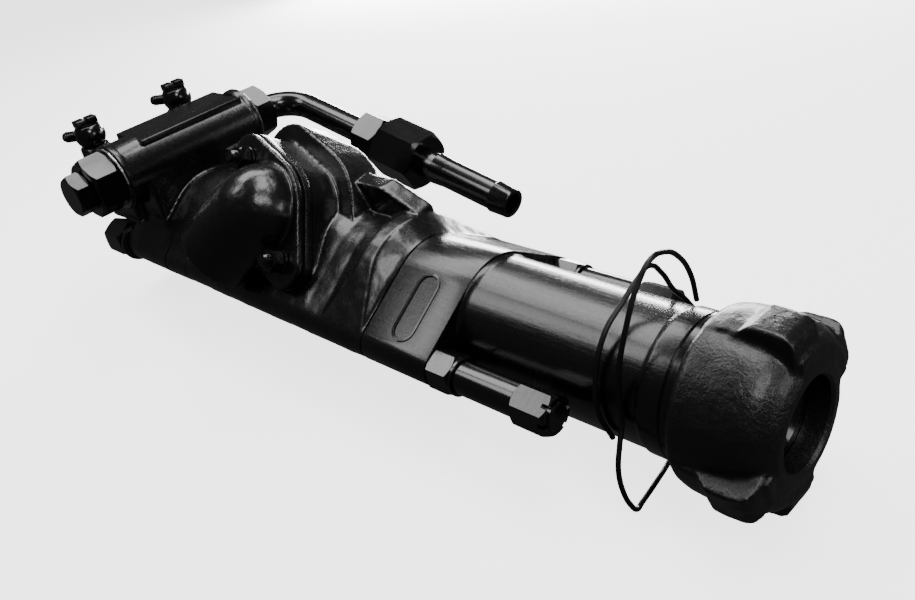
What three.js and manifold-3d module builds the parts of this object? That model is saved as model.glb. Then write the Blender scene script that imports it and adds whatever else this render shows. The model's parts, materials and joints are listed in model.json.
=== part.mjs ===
// Compressed-air breaker hammer. Millimetres. +X is the tool axis, pointing out of the front cap;
// +Z is up; the intake swivel is on the +Y side. While it is being put together, x = 0 is the
// front face of the cap and the barrel axis is y = z = 0. The finished group is then moved so
// that its origin is the middle of its footprint.
import * as THREE from "three";
import { mergeVertices } from "three/addons/utils/BufferGeometryUtils.js";
import Module from "manifold-3d";

const wasm = await Module();
wasm.setup();

// Driving dimensions

const gap = 0.3; // clearance between two pieces that touch
const slideGap = 0.4; // clearance round the poppet, which slides in the bore of the cross tube
const rad = THREE.MathUtils.degToRad;

const cap = {
  length: 56, radius: 51.5, rearRadius: 49.5, faceRadius: 31, openingRadius: 27, frontWall: 14,
  shoulder: 30, noseBack: 7, noseRadius: 45.2, padRadius: 55, padFaceRadius: 44, padStep: 0.6,
  lugAngles: [22, 88, 202, 268], lugRadius: 59, lugWidth: 26, lugStart: 3, lugCrown: 28,
  lugEnd: 37,
};
const collar = { width: 6.5, radius: 44.8 };
const head = {
  tubeRadius: 43, tubeLength: 149.4, noseRadius: 38, boreRadius: 27.3, rearBoreRadius: 20,
  stepLength: 13, stepRadius: 44.3, flangeDepth: 60, flangeRadius: 46,
};
const rods = {
  spacing: 61.5, bossRadius: 13, holeRadius: 9, radius: 8.6, frontReach: 99, rearReach: 45,
  collarNut: { flats: 24, length: 19 }, washer: { radius: 12.6, thickness: 2.4 },
  sleeve: { radius: 10.7, length: 46 }, castleNut: { flats: 24, length: 26, slots: 6 },
  ballWasher: { radius: 16.5, thickness: 11 }, rearNut: { flats: 29, length: 28 },
};
const gasket = { thickness: 1.2, inset: 1.2 };
const cylinder = {
  length: 253, boreRadius: 30.3, shoulderLength: 18, shoulderRadius: 57, waistRadius: 49,
  bodyRadius: 53, bossLength: 176, ridgeTop: 70, ridgeWidth: 16, ridgeShift: 12,
  ridgeSlope: 36, ridgeStart: 16,
};
const backhead = {
  length: 112, radius: 50, rearRadius: 42, bossLength: 66, footWidth: 44, footLength: 60,
  pocketDepth: 13, airRadius: 9,
};
const bushing = { flangeLength: 12, flangeRadius: 36.5, length: 80, toolFlats: 28, leadIn: 5 };
const buffer = { length: 12, holeRadius: 15 };
const anvilBush = { length: 80, holeRadius: 18.3 };
const anvil = { radius: anvilBush.holeRadius - gap, length: 74, stemRadius: 12, stemLength: 26, freePlay: 3.2, tail: 8 };
const liner = { wall: 2.2, portRadius: 9 };
const piston = {
  radius: cylinder.boreRadius - liner.wall - 2 * gap, headLength: 60, stemRadius: 16, stemLength: 106, tailRadius: 10, tailLength: 8,
  frontRoom: 54, grooves: 2, grooveWidth: 2.5, grooveDepth: 1.6,
};
const stemBush = { length: 43 };
const valve = {
  chestLength: 30, chestWall: 6, roomRadius: 20, radius: 19.6, length: 10, pinRadius: 8,
  throatRadius: 12.3, travel: 4,
};
const throttle = {
  back: 50, height: 69, radius: 27.5, halfLength: 68, boreRadius: 19, padTop: 95,
  padHalfLength: 42, padFront: 19, padBack: 27, rimWidth: 5, rimRadius: 28.6,
};
const sealRing = { radius: 27.2, thickness: 1.4 };
const largePlug = { flats: 46, length: 24, shankLength: 24 };
const smallPlug = { flats: 32, length: 14, shankRadius: 8, shankLength: 14 };
const poppet = {
  radius: throttle.boreRadius - slideGap, length: 26, wall: 3, seatAt: 18, seatLength: 8, seatHole: 10,
};
const poppetSpring = { wire: 2.4, radius: 12.5, turns: 5 };
const swivelNut = { flats: 43, length: 20, shankLength: 26, clearance: 1 };
const gooseneck = {
  pitch: 12.5, pipeRadius: 11.5, boreRadius: 8.5, bendRadius: 32, sideReach: 122, legLength: 126,
};
const unionBody = { start: 108, flats: 39, length: 27, noseRadius: 16.6, noseLength: 16 };
const unionNut = { flats: 45.5, length: 46, wall: 13 };
const nipple = { flange: 6, radius: 12.2, barbRadius: 13.4, reach: 280, steps: 3 };
const strainer = { length: 26, wall: 1.2 };
const exhaust = {
  back: 122, tilt: 57, offset: 31, faceHeight: 57, turn: -46, radius: 39, earRadius: 18,
  earSpacing: 47, portRadius: 23, bossDepth: 44, reliefGrow: 2.5,
};
const exhaustStack = { gasket: 1.2, spacer: 5.6, plate: 6 };
const hood = { halfWidth: 34, height: 36, reach: 58, wall: 5, direction: -137 };
const hoodStud = { radius: 4.9, proud: 17, root: 14, spacing: 45 };
const hoodNut = { flats: 16, length: 9 };
const hoodWasher = { radius: 9.5, thickness: 2 };
const plate = { length: 46, width: 15, depth: 1.6, recess: 2.4, across: 24, back: 30 };
const swingLug = {
  side: 46, behind: 72, postRadius: 13, eyeHeight: 90, eyeRadius: 13.5, eyeThickness: 18,
  pinRadius: 4.5, headLength: 20, headWidth: 10, headHeight: 6, studRadius: 5, studReach: 26,
  yaw: 216,
};
const lockWire = { radius: 1.6 };

// Stations along the tool axis, worked out from the lengths above

const xCapRear = -cap.length;
const xCollar = xCapRear - gap;
const xShoulder = xCollar - collar.width - gap;
const xNose = -cap.frontWall - bushing.flangeLength - 2 * gap;
const xFlange = xShoulder - head.tubeLength;
const xHeadRear = xFlange - head.flangeDepth;
const xCylinder = xHeadRear - gasket.thickness - 2 * gap;
const xCylinderRear = xCylinder - cylinder.length;
const xBackhead = xCylinderRear - gasket.thickness - 2 * gap;
const xBackheadRear = xBackhead - backhead.length;
const xThrottle = xBackhead - throttle.back;
const xBushingRear = xNose + gap - bushing.length;
const xBufferRear = xBushingRear - gap - buffer.length;
const xAnvilBushRear = xBufferRear - gap - anvilBush.length;
const xBoreStep = xAnvilBushRear - gap;
const xStemBushRear = xCylinder - stemBush.length;
const xChestRear = xCylinderRear + gap;
const xChest = xChestRear + valve.chestLength;
const xExhaust = xCylinder - exhaust.back;

// Solids

function faces(geometry) {
  const bare = geometry.index ? geometry.toNonIndexed() : geometry.clone();
  bare.deleteAttribute("normal");
  bare.deleteAttribute("uv");
  return mergeVertices(bare, 1e-4);
}

// A closed geometry as a solid that can be joined and cut, with its faces turned outwards.
function solid(geometry) {
  const merged = faces(geometry);
  const points = merged.attributes.position.array;
  const triVerts = new Uint32Array(merged.index.array);
  const made = new wasm.Manifold(new wasm.Mesh({ numProp: 3, vertProperties: points, triVerts }));
  if (made.volume() > 0) return made;
  const turned = triVerts.slice();
  for (let i = 0; i < turned.length; i += 3) {
    turned[i] = triVerts[i + 1];
    turned[i + 1] = triVerts[i];
  }
  return new wasm.Manifold(new wasm.Mesh({ numProp: 3, vertProperties: points, triVerts: turned }));
}

function geometryOf(body) {
  const mesh = body.getMesh();
  const geometry = new THREE.BufferGeometry();
  const positions = new THREE.BufferAttribute(new Float32Array(mesh.vertProperties), 3);
  geometry.setAttribute("position", positions);
  geometry.setIndex(new THREE.BufferAttribute(new Uint32Array(mesh.triVerts), 1));
  geometry.computeVertexNormals();
  return geometry;
}

const join = (...bodies) => bodies.reduce((a, b) => a.add(b));
const cut = (body, ...tools) => tools.reduce((a, b) => a.subtract(b), body);

// Turned about the X axis: profile is a list of [x, radius] that closes on itself or on the axis.
function turned(profile, sides = 16) {
  const points = profile.map(([x, r]) => new THREE.Vector2(r, x));
  const [first, last] = [profile[0], profile[profile.length - 1]];
  if (first[1] > 0 || last[1] > 0) points.push(points[0].clone());
  return new THREE.LatheGeometry(points, sides).rotateZ(-Math.PI / 2);
}

const rod = (x0, x1, radius, sides = 16) =>
  turned([[x0, 0], [x0, radius], [x1, radius], [x1, 0]], sides);

const ring = (x0, x1, inner, outer, sides = 16) =>
  turned([[x0, inner], [x0, outer], [x1, outer], [x1, inner]], sides);

// A flat outline in Y and Z, extruded along +X from x0.
function prism(shape, x0, length, sides = 8) {
  const geometry = new THREE.ExtrudeGeometry(shape, {
    depth: length, bevelEnabled: false, curveSegments: sides,
  });
  const axes = new THREE.Matrix4().makeBasis(
    new THREE.Vector3(0, 1, 0), new THREE.Vector3(0, 0, 1), new THREE.Vector3(1, 0, 0),
  );
  return geometry.applyMatrix4(axes).translate(x0, 0, 0);
}

// A hexagon bar along X between x0 and x1 with its corners turned off at both ends.
function hexBar(flats, x0, x1, chamfer = 1.8) {
  const corner = flats / Math.sqrt(3);
  const shape = new THREE.Shape();
  for (let i = 0; i < 6; i++) {
    const a = rad(60 * i + 30);
    if (i) shape.lineTo(corner * Math.cos(a), corner * Math.sin(a));
    else shape.moveTo(corner * Math.cos(a), corner * Math.sin(a));
  }
  const face = flats / 2 - 0.4;
  const blank = turned([
    [x0, 0], [x0, face], [x0 + chamfer, corner + 0.1],
    [x1 - chamfer, corner + 0.1], [x1, face], [x1, 0],
  ], 12);
  return solid(prism(shape, x0, x1 - x0)).intersect(solid(blank));
}

// Outline of three circles in a row with straight tangents: a middle one and one each side.
function threeCircleOutline(radius, sideRadius, spacing) {
  const angle = Math.acos((radius - sideRadius) / spacing);
  const shape = new THREE.Shape();
  shape.absarc(spacing, 0, sideRadius, -angle, angle, false);
  shape.absarc(0, 0, radius, angle, Math.PI - angle, false);
  shape.absarc(-spacing, 0, sideRadius, Math.PI - angle, Math.PI + angle, false);
  shape.absarc(0, 0, radius, Math.PI + angle, 2 * Math.PI - angle, false);
  return shape;
}

// The same outline as a fixed number of [y, z] points, so that two sizes of it can be lofted.
function castOutline(radius, top = radius) {
  const angle = Math.acos((radius - rods.bossRadius) / rods.spacing);
  const points = [];
  const arc = (y, r, from, to, steps) => {
    for (let i = 0; i <= steps; i++) {
      const a = from + ((to - from) * i) / steps;
      points.push([y + r * Math.cos(a), Math.min(r * Math.sin(a), top)]);
    }
  };
  arc(rods.spacing, rods.bossRadius, -angle, angle, 5);
  arc(0, radius, angle, Math.PI - angle, 6);
  arc(-rods.spacing, rods.bossRadius, Math.PI - angle, Math.PI + angle, 5);
  arc(0, radius, Math.PI + angle, 2 * Math.PI - angle, 6);
  return points;
}

// A closed skin over outlines that stand at x stations; every outline has as many points.
function loft(sections) {
  const count = sections[0].outline.length;
  const positions = sections.flatMap(({ x, outline }) => outline.flatMap(([y, z]) => [x, y, z]));
  const index = [];
  for (let s = 0; s + 1 < sections.length; s++) {
    for (let i = 0; i < count; i++) {
      const [a, b] = [s * count + i, s * count + ((i + 1) % count)];
      index.push(a, b, b + count, a, b + count, a + count);
    }
  }
  const flat = sections[0].outline.map(([y, z]) => new THREE.Vector2(y, z));
  const last = (sections.length - 1) * count;
  const end = sections[sections.length - 1].outline.map(([y, z]) => new THREE.Vector2(y, z));
  for (const [a, b, c] of THREE.ShapeUtils.triangulateShape(flat, [])) index.push(a, c, b);
  for (const [a, b, c] of THREE.ShapeUtils.triangulateShape(end, [])) {
    index.push(last + a, last + b, last + c);
  }
  const geometry = new THREE.BufferGeometry();
  geometry.setAttribute("position", new THREE.Float32BufferAttribute(positions, 3));
  return geometry.setIndex(index);
}

const box = (x0, x1, y0, y1, z0, z1) =>
  new THREE.BoxGeometry(x1 - x0, y1 - y0, z1 - z0)
    .translate((x0 + x1) / 2, (y0 + y1) / 2, (z0 + z1) / 2);

// Materials

const finish = (color, roughness, metalness) =>
  () => new THREE.MeshStandardMaterial({ color, roughness, metalness });
const paintedCasting = finish(0x101012, 0.32, 0.2);
const roughCasting = finish(0x141416, 0.5, 0.2);
const paintedSteel = finish(0x0c0c0e, 0.25, 0.4);
const bareSteel = finish(0x8a8d90, 0.35, 1);
const bronze = finish(0x9a7440, 0.4, 1);
const rubber = finish(0x1a1a1a, 0.8, 0);
const gasketSheet = finish(0x2a2622, 0.8, 0);
const plateMetal = finish(0x17181a, 0.4, 0.6);

function part(group, name, shape, material) {
  const geometry = shape.isBufferGeometry ? geometryOf(solid(shape)) : geometryOf(shape);
  const mesh = new THREE.Mesh(geometry, material());
  mesh.name = name;
  group.add(mesh);
  return mesh;
}

// Front end: the lobed cap, its collar, and the tool bushing that it holds in the nose

function frontCap() {
  const nose = new THREE.QuadraticBezierCurve(
    new THREE.Vector2(-cap.shoulder, cap.radius), new THREE.Vector2(-cap.noseBack, cap.noseRadius),
    new THREE.Vector2(0, cap.faceRadius),
  ).getPoints(4).map(({ x, y }) => [x, y]);
  const body = solid(turned([
    [xCapRear, head.noseRadius + gap], [xCapRear, cap.rearRadius], [xCapRear + 3, cap.radius],
    ...nose, [0, cap.openingRadius + 2], [-2, cap.openingRadius],
    [-cap.frontWall, cap.openingRadius], [-cap.frontWall, head.noseRadius + gap],
  ], 32));
  const inner = head.noseRadius - 2;
  const crown = solid(turned([
    [xCapRear, inner], [xCapRear, cap.rearRadius], [xCapRear + 4, cap.padRadius - 2.5],
    [xCapRear + 12, cap.padRadius - 0.7], [xCapRear + 26, cap.padRadius],
    [-19, cap.padRadius - 0.5], [-11, cap.padRadius - 2.5], [-4, cap.padRadius - 7],
    [-cap.padStep, cap.padFaceRadius], [-cap.padStep, cap.openingRadius + 3],
    [-cap.frontWall + 1, cap.openingRadius + 3], [-cap.frontWall + 1, inner],
  ], 32));
  const half = THREE.MathUtils.radToDeg(Math.asin(cap.lugWidth / 2 / cap.lugRadius));
  const pads = [0, 2].map((i) =>
    crown.intersect(sector(cap.lugAngles[i] - half, cap.lugAngles[i + 1] + half)));
  const hollow = solid(rod(xCapRear - 1, -cap.frontWall, head.noseRadius + gap, 32));
  return cut(join(body, ...pads, ...cap.lugAngles.map(capLug)), hollow);
}

// A wedge of the space round the axis, between two angles from +Y.
function sector(from, to) {
  const reach = 2 * cap.lugRadius;
  const shape = new THREE.Shape();
  shape.moveTo(0, 0);
  for (const angle of [from, (from + to) / 2, to]) {
    shape.lineTo(reach * Math.cos(rad(angle)), reach * Math.sin(rad(angle)));
  }
  return solid(prism(shape, xCapRear - 1, cap.length + 2));
}

function capLug(angle) {
  const side = new THREE.Shape();
  side.moveTo(-cap.lugEnd, head.noseRadius + 4);
  side.lineTo(-cap.lugStart, cap.faceRadius);
  side.lineTo(-cap.lugStart, cap.noseRadius + 1);
  side.quadraticCurveTo(-cap.lugStart - 1, cap.lugRadius, -cap.lugStart - 14, cap.lugRadius);
  side.lineTo(-cap.lugCrown, cap.lugRadius);
  side.lineTo(-cap.lugEnd, cap.radius - 1);
  const lug = new THREE.ExtrudeGeometry(side, {
    depth: cap.lugWidth, bevelEnabled: false, curveSegments: 3,
  });
  const sweep = solid(rod(-cap.lugEnd - 4, 1, cap.lugRadius, 48));
  return solid(lug.translate(0, 0, -cap.lugWidth / 2).rotateX(rad(angle))).intersect(sweep);
}

function toolBushing() {
  const flangeFront = -cap.frontWall - gap;
  const body = solid(turned([
    [xBushingRear, 0], [xBushingRear, head.boreRadius - gap],
    [xNose + gap, head.boreRadius - gap], [xNose + gap, bushing.flangeRadius],
    [flangeFront, bushing.flangeRadius], [flangeFront, 0],
  ]));
  const corner = bushing.toolFlats / Math.sqrt(3);
  const hole = new THREE.CylinderGeometry(corner, corner, bushing.length * 2, 6);
  const mouth = turned([
    [flangeFront - bushing.leadIn, 0], [flangeFront - bushing.leadIn, corner - 1],
    [flangeFront + 1, corner + bushing.leadIn], [flangeFront + 1, 0],
  ], 24);
  return cut(body, solid(hole.rotateZ(Math.PI / 2).translate(xNose, 0, 0)), solid(mouth));
}

function addFrontEnd(tool) {
  part(tool, "front_cap", frontCap(), roughCasting);
  const collarRing = ring(
    xCollar - collar.width, xCollar, head.noseRadius + gap, collar.radius, 32,
  );
  part(tool, "cap_lock_ring", collarRing, paintedSteel);
  part(tool, "tool_bushing", toolBushing(), bareSteel);
  const bufferRing = ring(
    xBufferRear, xBushingRear - gap, buffer.holeRadius, head.boreRadius - gap,
  );
  part(tool, "buffer_ring", bufferRing, rubber);
  const bush = ring(
    xAnvilBushRear, xBufferRear - gap, anvilBush.holeRadius, head.boreRadius - gap,
  );
  part(tool, "anvil_bushing", bush, bronze);
}

// Castings

// Holes for the two side rods, between two stations.
const rodHoles = (x0, x1) => [-1, 1].map((side) =>
  solid(rod(x0, x1, rods.holeRadius).translate(0, side * rods.spacing, 0)));

// The slope of the flange faces, as the angle of their normals above the horizontal.
const flangeSlope = Math.acos((head.flangeRadius - rods.bossRadius) / rods.spacing);

// Places a piece built flat on z = 0 against the flange face on the -Y side.
function ontoFlangeFace(geometry, lift) {
  geometry.rotateX(Math.PI / 2 - flangeSlope);
  const along = plate.across;
  const y = -Math.cos(flangeSlope) * (head.flangeRadius + lift) - Math.sin(flangeSlope) * along;
  const z = Math.sin(flangeSlope) * (head.flangeRadius + lift) - Math.cos(flangeSlope) * along;
  return geometry.translate(xFlange - plate.back, y, z);
}

function plateOutline(grow) {
  const r = plate.width / 2 + grow;
  const half = plate.length / 2 - plate.width / 2;
  const shape = new THREE.Shape();
  shape.absarc(0, half, r, 0, Math.PI, false);
  shape.absarc(0, -half, r, Math.PI, 2 * Math.PI, false);
  return shape;
}

const plateSolid = (grow, depth) =>
  new THREE.ExtrudeGeometry(plateOutline(grow), {
    depth, bevelEnabled: false, curveSegments: 6,
  });

function frontHead() {
  const tube = solid(turned([
    [xNose, 0], [xNose, head.noseRadius], [xShoulder, head.noseRadius],
    [xShoulder, head.stepRadius], [xShoulder - head.stepLength, head.stepRadius],
    [xShoulder - head.stepLength - 3, head.tubeRadius], [xHeadRear, head.tubeRadius],
    [xHeadRear, 0],
  ].reverse(), 32));
  const outline = threeCircleOutline(head.flangeRadius, rods.bossRadius, rods.spacing);
  const flange = solid(prism(outline, xHeadRear, head.flangeDepth, 7));
  return cut(
    join(tube, flange),
    solid(rod(xBoreStep, xNose + 1, head.boreRadius, 16)),
    solid(rod(xHeadRear - 1, xBoreStep + 1, head.rearBoreRadius, 16)),
    ...rodHoles(xHeadRear - 1, xFlange + 1),
    solid(ontoFlangeFace(plateSolid(gap, 10), -plate.recess)),
  );
}

// A gasket sheet between two castings, a little inside their outline.
function gasketBetween(xFront, radius, holeRadius) {
  const outline = threeCircleOutline(
    radius - gasket.inset, rods.bossRadius - gasket.inset, rods.spacing,
  );
  const sheet = solid(prism(outline, xFront - gasket.thickness, gasket.thickness, 5));
  const x0 = xFront - gasket.thickness - 1;
  return cut(sheet, solid(rod(x0, xFront + 1, holeRadius, 16)), ...rodHoles(x0, xFront + 1));
}

// Stands a piece, built round +Z at the group origin, on the slanting exhaust face.
function exhaustGroup() {
  const group = new THREE.Group();
  group.rotation.x = rad(exhaust.tilt);
  const along = exhaust.offset;
  group.position.set(
    xExhaust, along * Math.cos(rad(exhaust.tilt)), along * Math.sin(rad(exhaust.tilt)),
  );
  group.updateMatrixWorld(true);
  return group;
}

// The exhaust outline, extruded along the local +Z.
function exhaustPlate(z0, depth, grow = 0) {
  const outline = threeCircleOutline(
    exhaust.radius + grow, exhaust.earRadius + grow, exhaust.earSpacing,
  );
  return new THREE.ExtrudeGeometry(outline, { depth, bevelEnabled: false, curveSegments: 5 })
    .rotateZ(rad(exhaust.turn)).translate(0, 0, z0);
}

const upright = (z0, z1, radius, sides = 16) =>
  rod(z0, z1, radius, sides).rotateY(-Math.PI / 2);

function cylinderCasting() {
  const c = cylinder;
  const stations = [
    [0, head.flangeRadius], [14, c.shoulderRadius], [c.shoulderLength + 8, c.shoulderRadius],
    [c.shoulderLength + 26, c.waistRadius], [c.shoulderLength + 44, c.waistRadius],
    [c.shoulderLength + 66, c.bodyRadius], [c.bossLength, c.bodyRadius],
  ];
  const body = loft(stations.map(([back, radius]) => ({
    x: xCylinder - back, outline: castOutline(radius),
  })).reverse());
  const rearLength = c.length - c.bossLength;
  const rear = join(
    solid(rod(xCylinderRear, xCylinderRear + rearLength + 1, c.bodyRadius, 28)),
    solid(prism(
      threeCircleOutline(c.bodyRadius, rods.bossRadius, rods.spacing), xCylinderRear, 30, 6,
    )),
  );
  const ridge = new THREE.Shape();
  ridge.moveTo(-c.ridgeStart, c.shoulderRadius - 1);
  ridge.lineTo(-c.ridgeStart - c.ridgeSlope, c.ridgeTop);
  ridge.lineTo(-c.length, c.ridgeTop);
  ridge.lineTo(-c.length, c.boreRadius + 4);
  ridge.lineTo(-c.ridgeStart, c.boreRadius + 4);
  const ridgeBar = new THREE.ExtrudeGeometry(ridge, { depth: c.ridgeWidth, bevelEnabled: false });
  ridgeBar.rotateX(Math.PI / 2).translate(xCylinder, c.ridgeShift + c.ridgeWidth, 0);
  const group = exhaustGroup();
  const place = (geometry) => solid(geometry.applyMatrix4(group.matrixWorld));
  const boss = place(exhaustPlate(exhaust.faceHeight - exhaust.bossDepth, exhaust.bossDepth));
  const relief = place(exhaustPlate(exhaust.faceHeight, 60, exhaust.reliefGrow));
  const port = place(upright(-10, exhaust.faceHeight + 2, exhaust.portRadius));
  const stack = exhaustStack.gasket + exhaustStack.spacer + exhaustStack.plate + 3 * gap;
  const hoodRoom = place(alongHood(
    halfTunnel(hood.halfWidth + gap, hood.height + gap, hood.reach + gap),
    exhaust.faceHeight + stack - 1 - gap,
  ));
  const studHoles = [-1, 1].map((end) =>
    place(studAt(upright(exhaust.faceHeight - hoodStud.root, 200, hoodStud.radius + gap, 12), end)));
  return cut(
    join(solid(body), rear, solid(ridgeBar), boss),
    solid(rod(xCylinderRear - 1, xCylinder + 1, c.boreRadius, 16)),
    ...rodHoles(xCylinderRear - 1, xCylinder + 1), relief, hoodRoom, port, ...studHoles,
  );
}

// Moves a piece built round the local +Z onto one of the two hood studs.
function studAt(geometry, end) {
  const a = rad(exhaust.turn);
  return geometry.translate(
    end * hoodStud.spacing * Math.cos(a), end * hoodStud.spacing * Math.sin(a), 0,
  );
}

function backheadCasting() {
  const b = backhead;
  const half = threeCircleOutline(b.radius, rods.bossRadius, rods.spacing);
  const body = loft([
    { x: xBackheadRear, outline: castOutline(b.rearRadius) },
    { x: xBackheadRear + 20, outline: castOutline(b.radius) },
    { x: xBackhead, outline: castOutline(b.radius) },
  ]);
  const bosses = solid(prism(half, xBackhead - b.bossLength, b.bossLength, 6));
  const t = throttle;
  const tube = [
    [-t.halfLength, 0], [-t.halfLength, t.rimRadius], [-t.halfLength + t.rimWidth, t.rimRadius],
    [-t.halfLength + t.rimWidth + 3, t.radius], [t.halfLength - t.rimWidth - 3, t.radius],
    [t.halfLength - t.rimWidth, t.rimRadius], [t.halfLength, t.rimRadius], [t.halfLength, 0],
  ];
  const acrossY = (g) => solid(g.rotateZ(Math.PI / 2).translate(xThrottle, 0, t.height));
  const saddle = box(xThrottle - t.radius, xThrottle + t.radius, -52, 52, 0, t.height);
  const pad = box(
    xThrottle - t.padBack, xThrottle + t.padFront, -t.padHalfLength, t.padHalfLength,
    t.height, t.padTop,
  );
  const foot = box(
    xBackheadRear + 6, xBackheadRear + 6 + b.footLength, -b.footWidth / 2, b.footWidth / 2,
    -cap.lugRadius, 0,
  );
  const posts = [-1, 1].map((side) => solid(
    upright(20, swingTop, swingLug.postRadius, 12)
      .translate(xThrottle - swingLug.behind, side * swingLug.side, 0),
  ));
  const web = box(
    xThrottle - swingLug.behind, xThrottle, -swingLug.side, swingLug.side, 20, swingTop - 8,
  );
  const clearRear = box(
    xBackheadRear - 80, xThrottle - swingLug.behind - 1, -34, 34, -80, swingTop + 1,
  );
  return cut(
    join(
      cut(join(solid(body), solid(web), ...posts), solid(clearRear)), bosses, solid(saddle),
      acrossY(turned(tube, 24)), solid(pad), solid(foot),
    ),
    acrossY(rod(-t.halfLength - 1, t.halfLength + 1, t.boreRadius, 16)),
    solid(box(
      xThrottle - 2 * t.radius, xThrottle + 2 * t.radius, -t.padHalfLength, t.padHalfLength,
      t.padTop, t.padTop + t.radius,
    )),
    solid(rod(xBackhead - b.pocketDepth, xBackhead + 1, cylinder.boreRadius, 16)),
    solid(rod(xThrottle, xBackhead, b.airRadius)),
    solid(upright(-b.airRadius, t.height, b.airRadius).translate(xThrottle, 0, 0)),
    ...rodHoles(xBackheadRear - 1, xBackhead + 1),
    ...[-1, 1].map((side) => solid(
      upright(swingTop - 16, swingTop + 1, swingLug.pinRadius + gap, 12)
        .translate(xThrottle - swingLug.behind, side * swingLug.side, 0),
    )),
    ...[-1, 1].map((side) => solid(rod(
      xBackheadRear - 40, xBackhead - b.bossLength, rods.ballWasher.radius + 2.5, 16,
    ).translate(0, side * rods.spacing, 0))),
  );
}

function addCastings(tool) {
  part(tool, "front_head", frontHead(), paintedCasting);
  const frontGasket = gasketBetween(xHeadRear - gap, head.flangeRadius, cylinder.boreRadius);
  part(tool, "front_gasket", frontGasket, gasketSheet);
  part(tool, "cylinder_casting", cylinderCasting(), paintedCasting);
  const rearGasket = gasketBetween(xCylinderRear - gap, backhead.radius, cylinder.boreRadius);
  part(tool, "rear_gasket", rearGasket, gasketSheet);
  part(tool, "backhead", backheadCasting(), paintedCasting);
  const badge = ontoFlangeFace(plateSolid(0, plate.depth), gap - plate.recess);
  part(tool, "blank_plate", badge, plateMetal);
}

// Percussion parts inside the bore

function pistonBody() {
  const p = piston;
  const headFront = xStemBushRear - p.frontRoom;
  const headRear = headFront - p.headLength;
  const profile = [
    [headRear - p.tailLength, 0], [headRear - p.tailLength, p.tailRadius],
    [headRear, p.tailRadius], [headRear, p.radius],
  ];
  for (let i = 0; i < p.grooves; i++) {
    const x = headRear + 8 + i * 8;
    profile.push(
      [x, p.radius], [x, p.radius - p.grooveDepth],
      [x + p.grooveWidth, p.radius - p.grooveDepth], [x + p.grooveWidth, p.radius],
    );
  }
  profile.push(
    [headFront, p.radius], [headFront, p.stemRadius],
    [headFront + p.stemLength - 2, p.stemRadius],
    [headFront + p.stemLength, p.stemRadius - 2], [headFront + p.stemLength, 0],
  );
  return turned(profile);
}

function addPercussion(tool) {
  const a = anvil;
  const shoulder = xBufferRear - a.freePlay;
  part(tool, "anvil", turned([
    [shoulder - a.length - a.tail, 0], [shoulder - a.length - a.tail, a.radius - 4],
    [shoulder - a.length, a.radius - 4], [shoulder - a.length, a.radius],
    [shoulder, a.radius], [shoulder, a.stemRadius],
    [shoulder + a.stemLength, a.stemRadius], [shoulder + a.stemLength, 0],
  ]), bareSteel);
  const fit = cylinder.boreRadius - gap;
  const stemBushing = ring(xStemBushRear, xCylinder, piston.stemRadius + gap, fit);
  part(tool, "stem_bushing", stemBushing, bronze);
  const linerTube = solid(ring(xChest + gap, xStemBushRear - gap, fit - liner.wall, fit));
  const exhaustPort = upright(-100, 100, liner.portRadius)
    .rotateX(rad(exhaust.tilt)).translate(xExhaust, 0, 0);
  part(tool, "cylinder_liner", cut(linerTube, solid(exhaustPort)), bareSteel);
  part(tool, "piston", pistonBody(), bareSteel);
  const v = valve;
  part(tool, "valve_chest", turned([
    [xChestRear, v.roomRadius], [xChestRear, fit], [xChest, fit], [xChest, v.throatRadius],
    [xChest - v.chestWall, v.throatRadius], [xChest - v.chestWall, v.roomRadius],
  ]), bareSteel);
  const valveFront = xChest - v.chestWall - v.travel - gap;
  const valveRing = ring(valveFront - v.length, valveFront, v.pinRadius + gap, v.radius);
  part(tool, "air_valve", valveRing, bareSteel);
  const guideFront = xChestRear - gap;
  part(tool, "valve_guide", turned([
    [xBackhead - backhead.pocketDepth + gap, 0], [xBackhead - backhead.pocketDepth + gap, fit],
    [guideFront, fit], [guideFront, v.pinRadius],
    [valveFront - 1, v.pinRadius], [valveFront - 1, 0],
  ]), bareSteel);
}

// Side rods: one long bolt each side with its nuts, washers and sleeve

function castleNut(x1) {
  const n = rods.castleNut;
  const x0 = x1 - n.length;
  const slots = Array.from({ length: n.slots / 2 }, (_, i) =>
    solid(box(x1 - 6, x1 + 1, -n.flats, n.flats, -1.6, 1.6).rotateX(rad((360 / n.slots) * i))));
  return cut(
    hexBar(n.flats, x0, x1), solid(rod(x0 - 1, x1 + 1, rods.radius + gap)), ...slots,
  );
}

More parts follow.
